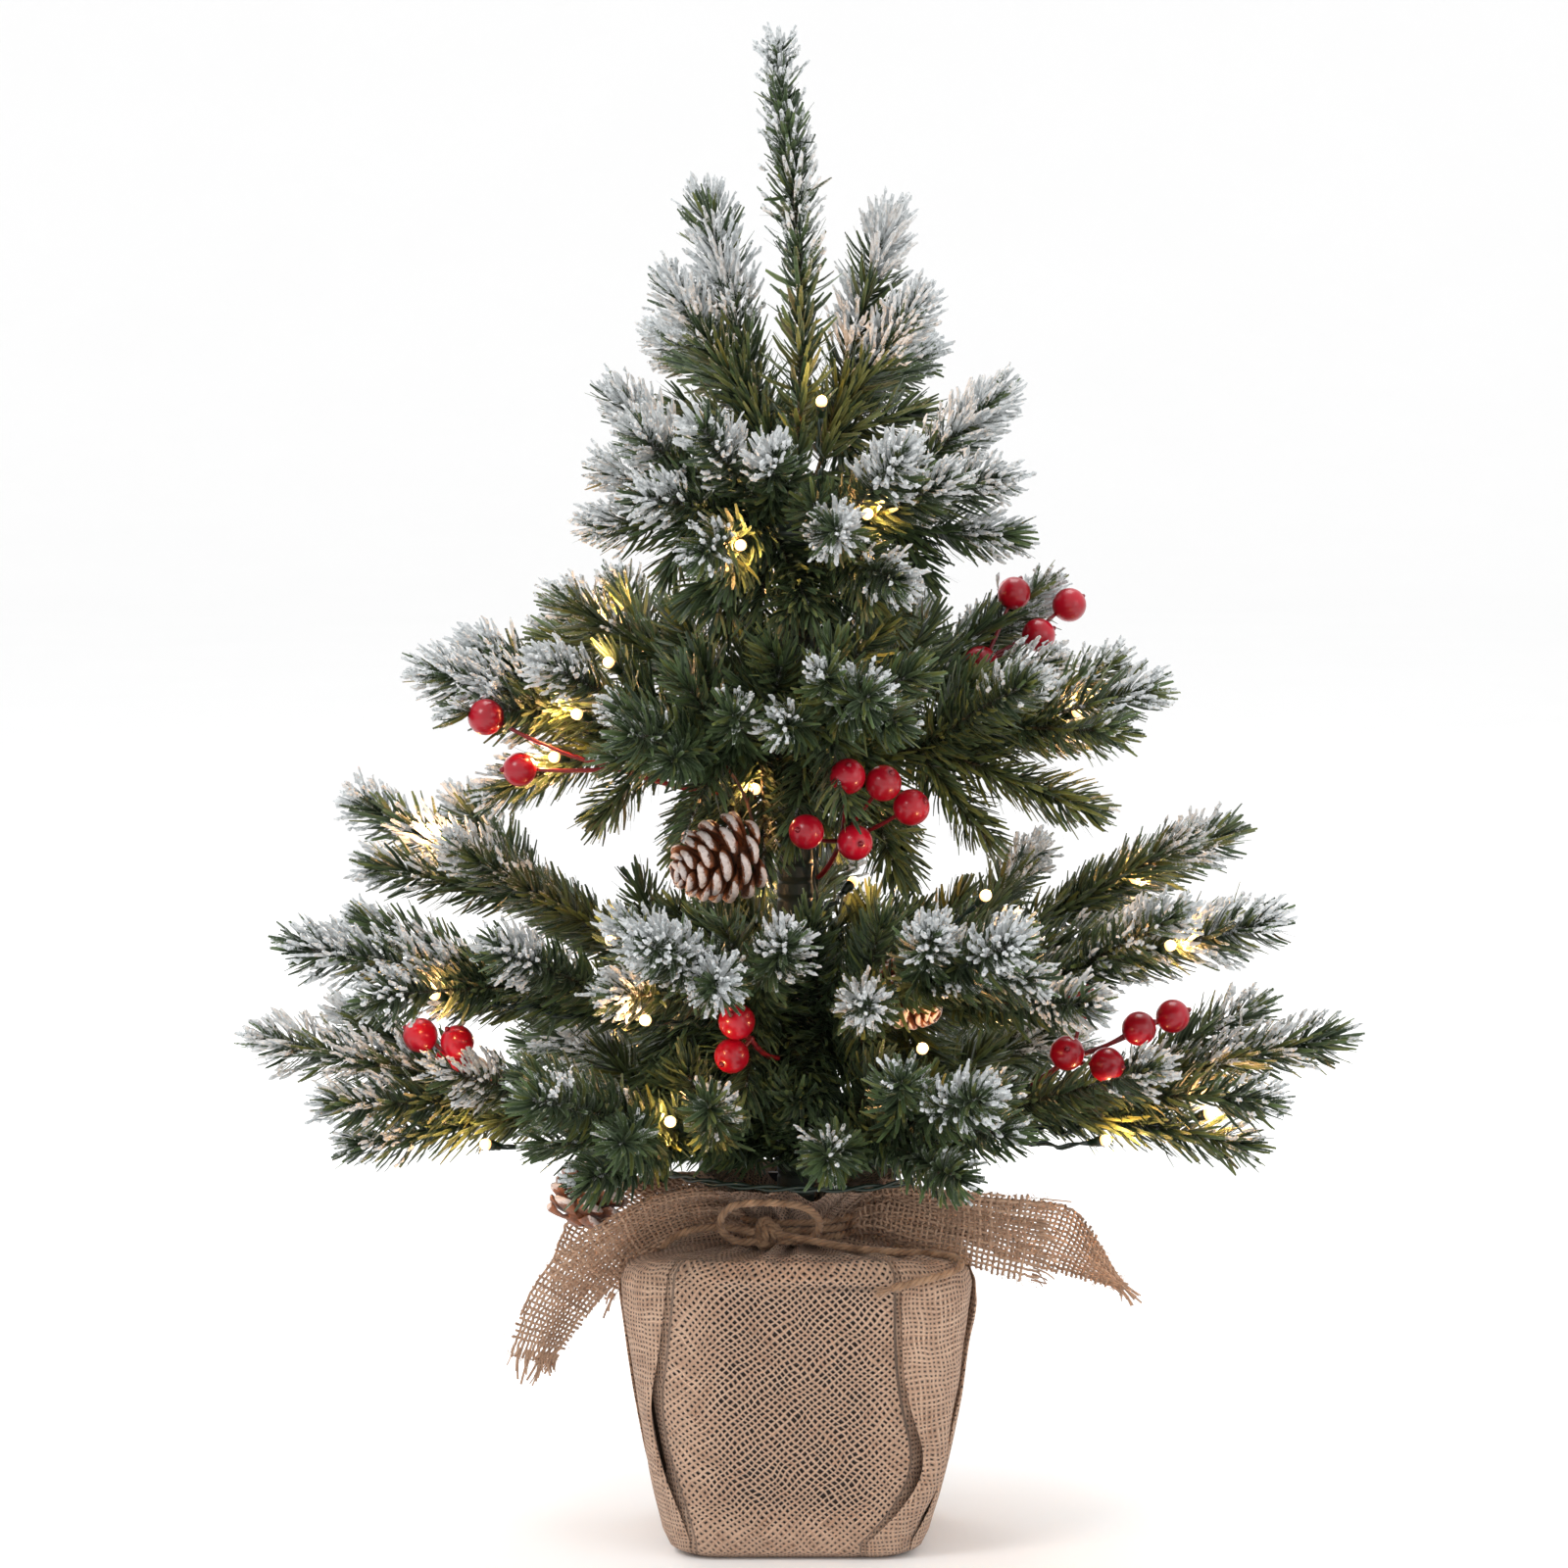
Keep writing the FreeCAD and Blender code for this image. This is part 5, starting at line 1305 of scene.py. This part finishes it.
def cone_piece(name, body, centre, radius, length, hook, seed):
    """Woody scales in a spiral, open and curving towards the tip."""
    rng = np.random.default_rng(seed)
    centre, hook = arr(centre), arr(hook)
    axis = unit(arr(CONE_AXES[name]))
    side = unit(np.cross(axis, arr([0.2, 0.9, 0.1])))
    other = np.cross(axis, side)
    build = Builder()
    core = centre + axis * np.linspace(-0.40, 0.34, 10)[:, None] * length
    fat = radius * np.interp(np.linspace(0, 1, 10), [0, 0.15, 0.5, 0.85, 1], [0.15, 0.30, 0.28, 0.2, 0.05])
    points, faces = tubes(core[None], fat[None], 12)
    build.add(points, faces, tip=0.0)
    count, around_points = 46, 14
    angle = 2 * np.pi * np.arange(around_points) / around_points
    for k in range(count):
        share = (k + 0.5) / count
        turn = k * GOLDEN_ANGLE + rng.normal(0, 0.06)
        out = side * math.cos(turn) + other * math.sin(turn)
        tangent = np.cross(axis, out)
        base = centre + axis * (-0.36 + 0.66 * share) * length
        reach = radius * np.interp(share, [0, 0.12, 0.35, 0.7, 1], [0.72, 0.92, 1.0, 0.80, 0.46]) * rng.uniform(0.94, 1.05)
        wide = radius * np.interp(share, [0, 0.2, 0.5, 1], [0.27, 0.33, 0.32, 0.17]) * rng.uniform(0.92, 1.08)
        thick = radius * np.interp(share, [0, 0.4, 1], [0.085, 0.10, 0.06])
        lean = math.radians(np.interp(share, [0, 0.3, 0.7, 1], [112, 92, 66, 22]))
        bend = math.radians(np.interp(share, [0, 0.5, 1], [52, 56, 20]))
        fine = np.linspace(0, 1, 33)
        theta = lean - bend * fine ** 1.3
        run = np.stack([np.cos(theta), np.sin(theta)], -1) * reach / 32
        path = np.concatenate([[[0, 0]], np.cumsum(run, axis=0)[:-1]])
        rings, tips = [], []
        for u, half_wide, half_thick in SCALE_SHAPE:
            a, b = [np.interp(u, fine, path[:, m]) for m in (0, 1)]
            way = np.interp(u, fine, theta)
            middle = base + axis * a + out * b
            normal = axis * math.sin(way) - out * math.cos(way)
            x = wide * half_wide * np.cos(angle)
            y = thick * half_thick * np.sin(angle) + 0.30 * wide * u * (np.cos(angle) * half_wide) ** 2
            rings.append(middle + tangent * x[:, None] + normal * y[:, None])
            tips.append(np.full(around_points, smooth(0.50, 1.0, u)) * (0.72 + 0.28 * (np.sin(angle) < 0.3)))
        grid = np.array(rings)
        n = len(grid)
        base_index = np.arange(n - 1)[:, None] * around_points
        j = np.arange(around_points)[None, :]
        m = (j + 1) % around_points
        quads = np.stack([base_index + j, base_index + m, base_index + around_points + m,
                          base_index + around_points + j], -1).reshape(-1, 4)
        caps = [np.arange(around_points)[None, ::-1], np.arange(around_points)[None, :] + (n - 1) * around_points]
        build.add(grid, [quads] + caps, tip=np.concatenate(tips))
    hold = centre - axis * length * 0.38
    t = np.linspace(0, 1, 12)[:, None]
    knee = (hold + hook) / 2 - axis * 8
    line = hold * (1 - t) ** 2 + knee * 2 * t * (1 - t) + hook * t ** 2
    points, faces = tubes(line[None], 0.7, 6)
    build.add(points, faces, tip=0.0)
    piece = build.object("scales_" + name[10:], [CONE])
    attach(piece, body)
    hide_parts(name)


for number, (name, (body, centre, radius, length, hook)) in enumerate(CONES.items()):
    cone_piece(name, body, centre, radius, length, hook, 500 + number)


# ------------------------------------------------------------------ CAD nodes that stay
def finish_node(node, material):
    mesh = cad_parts[node]
    mesh.data.materials.clear()
    mesh.data.materials.append(material)


for node, material in (("trunk_tape", TAPE), ("trunk_rod", ROD), ("pot_liner", LINER),
                       ("cement_weight", CEMENT), ("battery_box", DARK), ("battery_cover", DARK),
                       ("switch_slider", DARK), ("battery_contacts", METAL), ("battery_cells", CELL)):
    finish_node(node, material)

# ------------------------------------------------------------------ floor, light and camera
profile = [(-9.0, 0.0)] + [(7.0 + 3.0 * math.sin(t), 3.0 - 3.0 * math.cos(t))
                           for t in np.linspace(0, math.pi / 2, 17)] + [(10.0, 9.0)]
floor_mesh = bpy.data.meshes.new("floor")
floor_mesh.from_pydata([(x, y, z) for y, z in profile for x in (-12, 12)], [],
                       [(2 * k, 2 * k + 1, 2 * k + 3, 2 * k + 2) for k in range(len(profile) - 1)])
for face in floor_mesh.polygons:
    face.use_smooth = True
floor = bpy.data.objects.new("floor", floor_mesh)
scene.collection.objects.link(floor)
floor_look = plain_material("floor_paint", (0.95, 0.95, 0.95), (0.93, 0.93, 0.93), 0.9, 3, 0.0)
floor_mesh.materials.append(floor_look)

world = bpy.data.worlds.new("studio")
world.use_nodes = True
world.node_tree.nodes["Background"].inputs[0].default_value = (1.0, 1.0, 1.0, 1)
world.node_tree.nodes["Background"].inputs[1].default_value = 1.06
scene.world = world


def area_light(name, place, aim, size, energy, colour=(1, 1, 1)):
    light = bpy.data.lights.new(name, "AREA")
    light.size = size
    light.energy = energy
    light.color = colour
    lamp_object = bpy.data.objects.new(name, light)
    lamp_object.location = place
    lamp_object.rotation_euler = (Vector(aim) - Vector(place)).to_track_quat("-Z", "Y").to_euler()
    scene.collection.objects.link(lamp_object)


area_light("key", (-1.3, -1.5, 1.9), (0, 0, 0.3), 0.8, 20)
area_light("fill", (1.7, -1.4, 0.9), (0, 0, 0.25), 1.2, 5)
area_light("top", (0.1, 0.5, 2.0), (0, 0, 0.3), 1.0, 14)
area_light("back", (-0.8, 1.8, 1.1), (0, 0, 0.3), 1.0, 8)

camera_data = bpy.data.cameras.new("camera")
camera_data.lens = 114.6
camera_data.sensor_width = 36
camera_data.clip_end = 50
camera = bpy.data.objects.new("camera", camera_data)
target = Vector((-0.0047, 0, 0.3046))
rise = math.radians(5)
camera.location = target + Vector((0, -math.cos(rise), math.sin(rise))) * 2.0
camera.rotation_euler = (target - camera.location).to_track_quat("-Z", "Y").to_euler()
scene.collection.objects.link(camera)
scene.camera = camera
scene.view_settings.view_transform = "Standard"
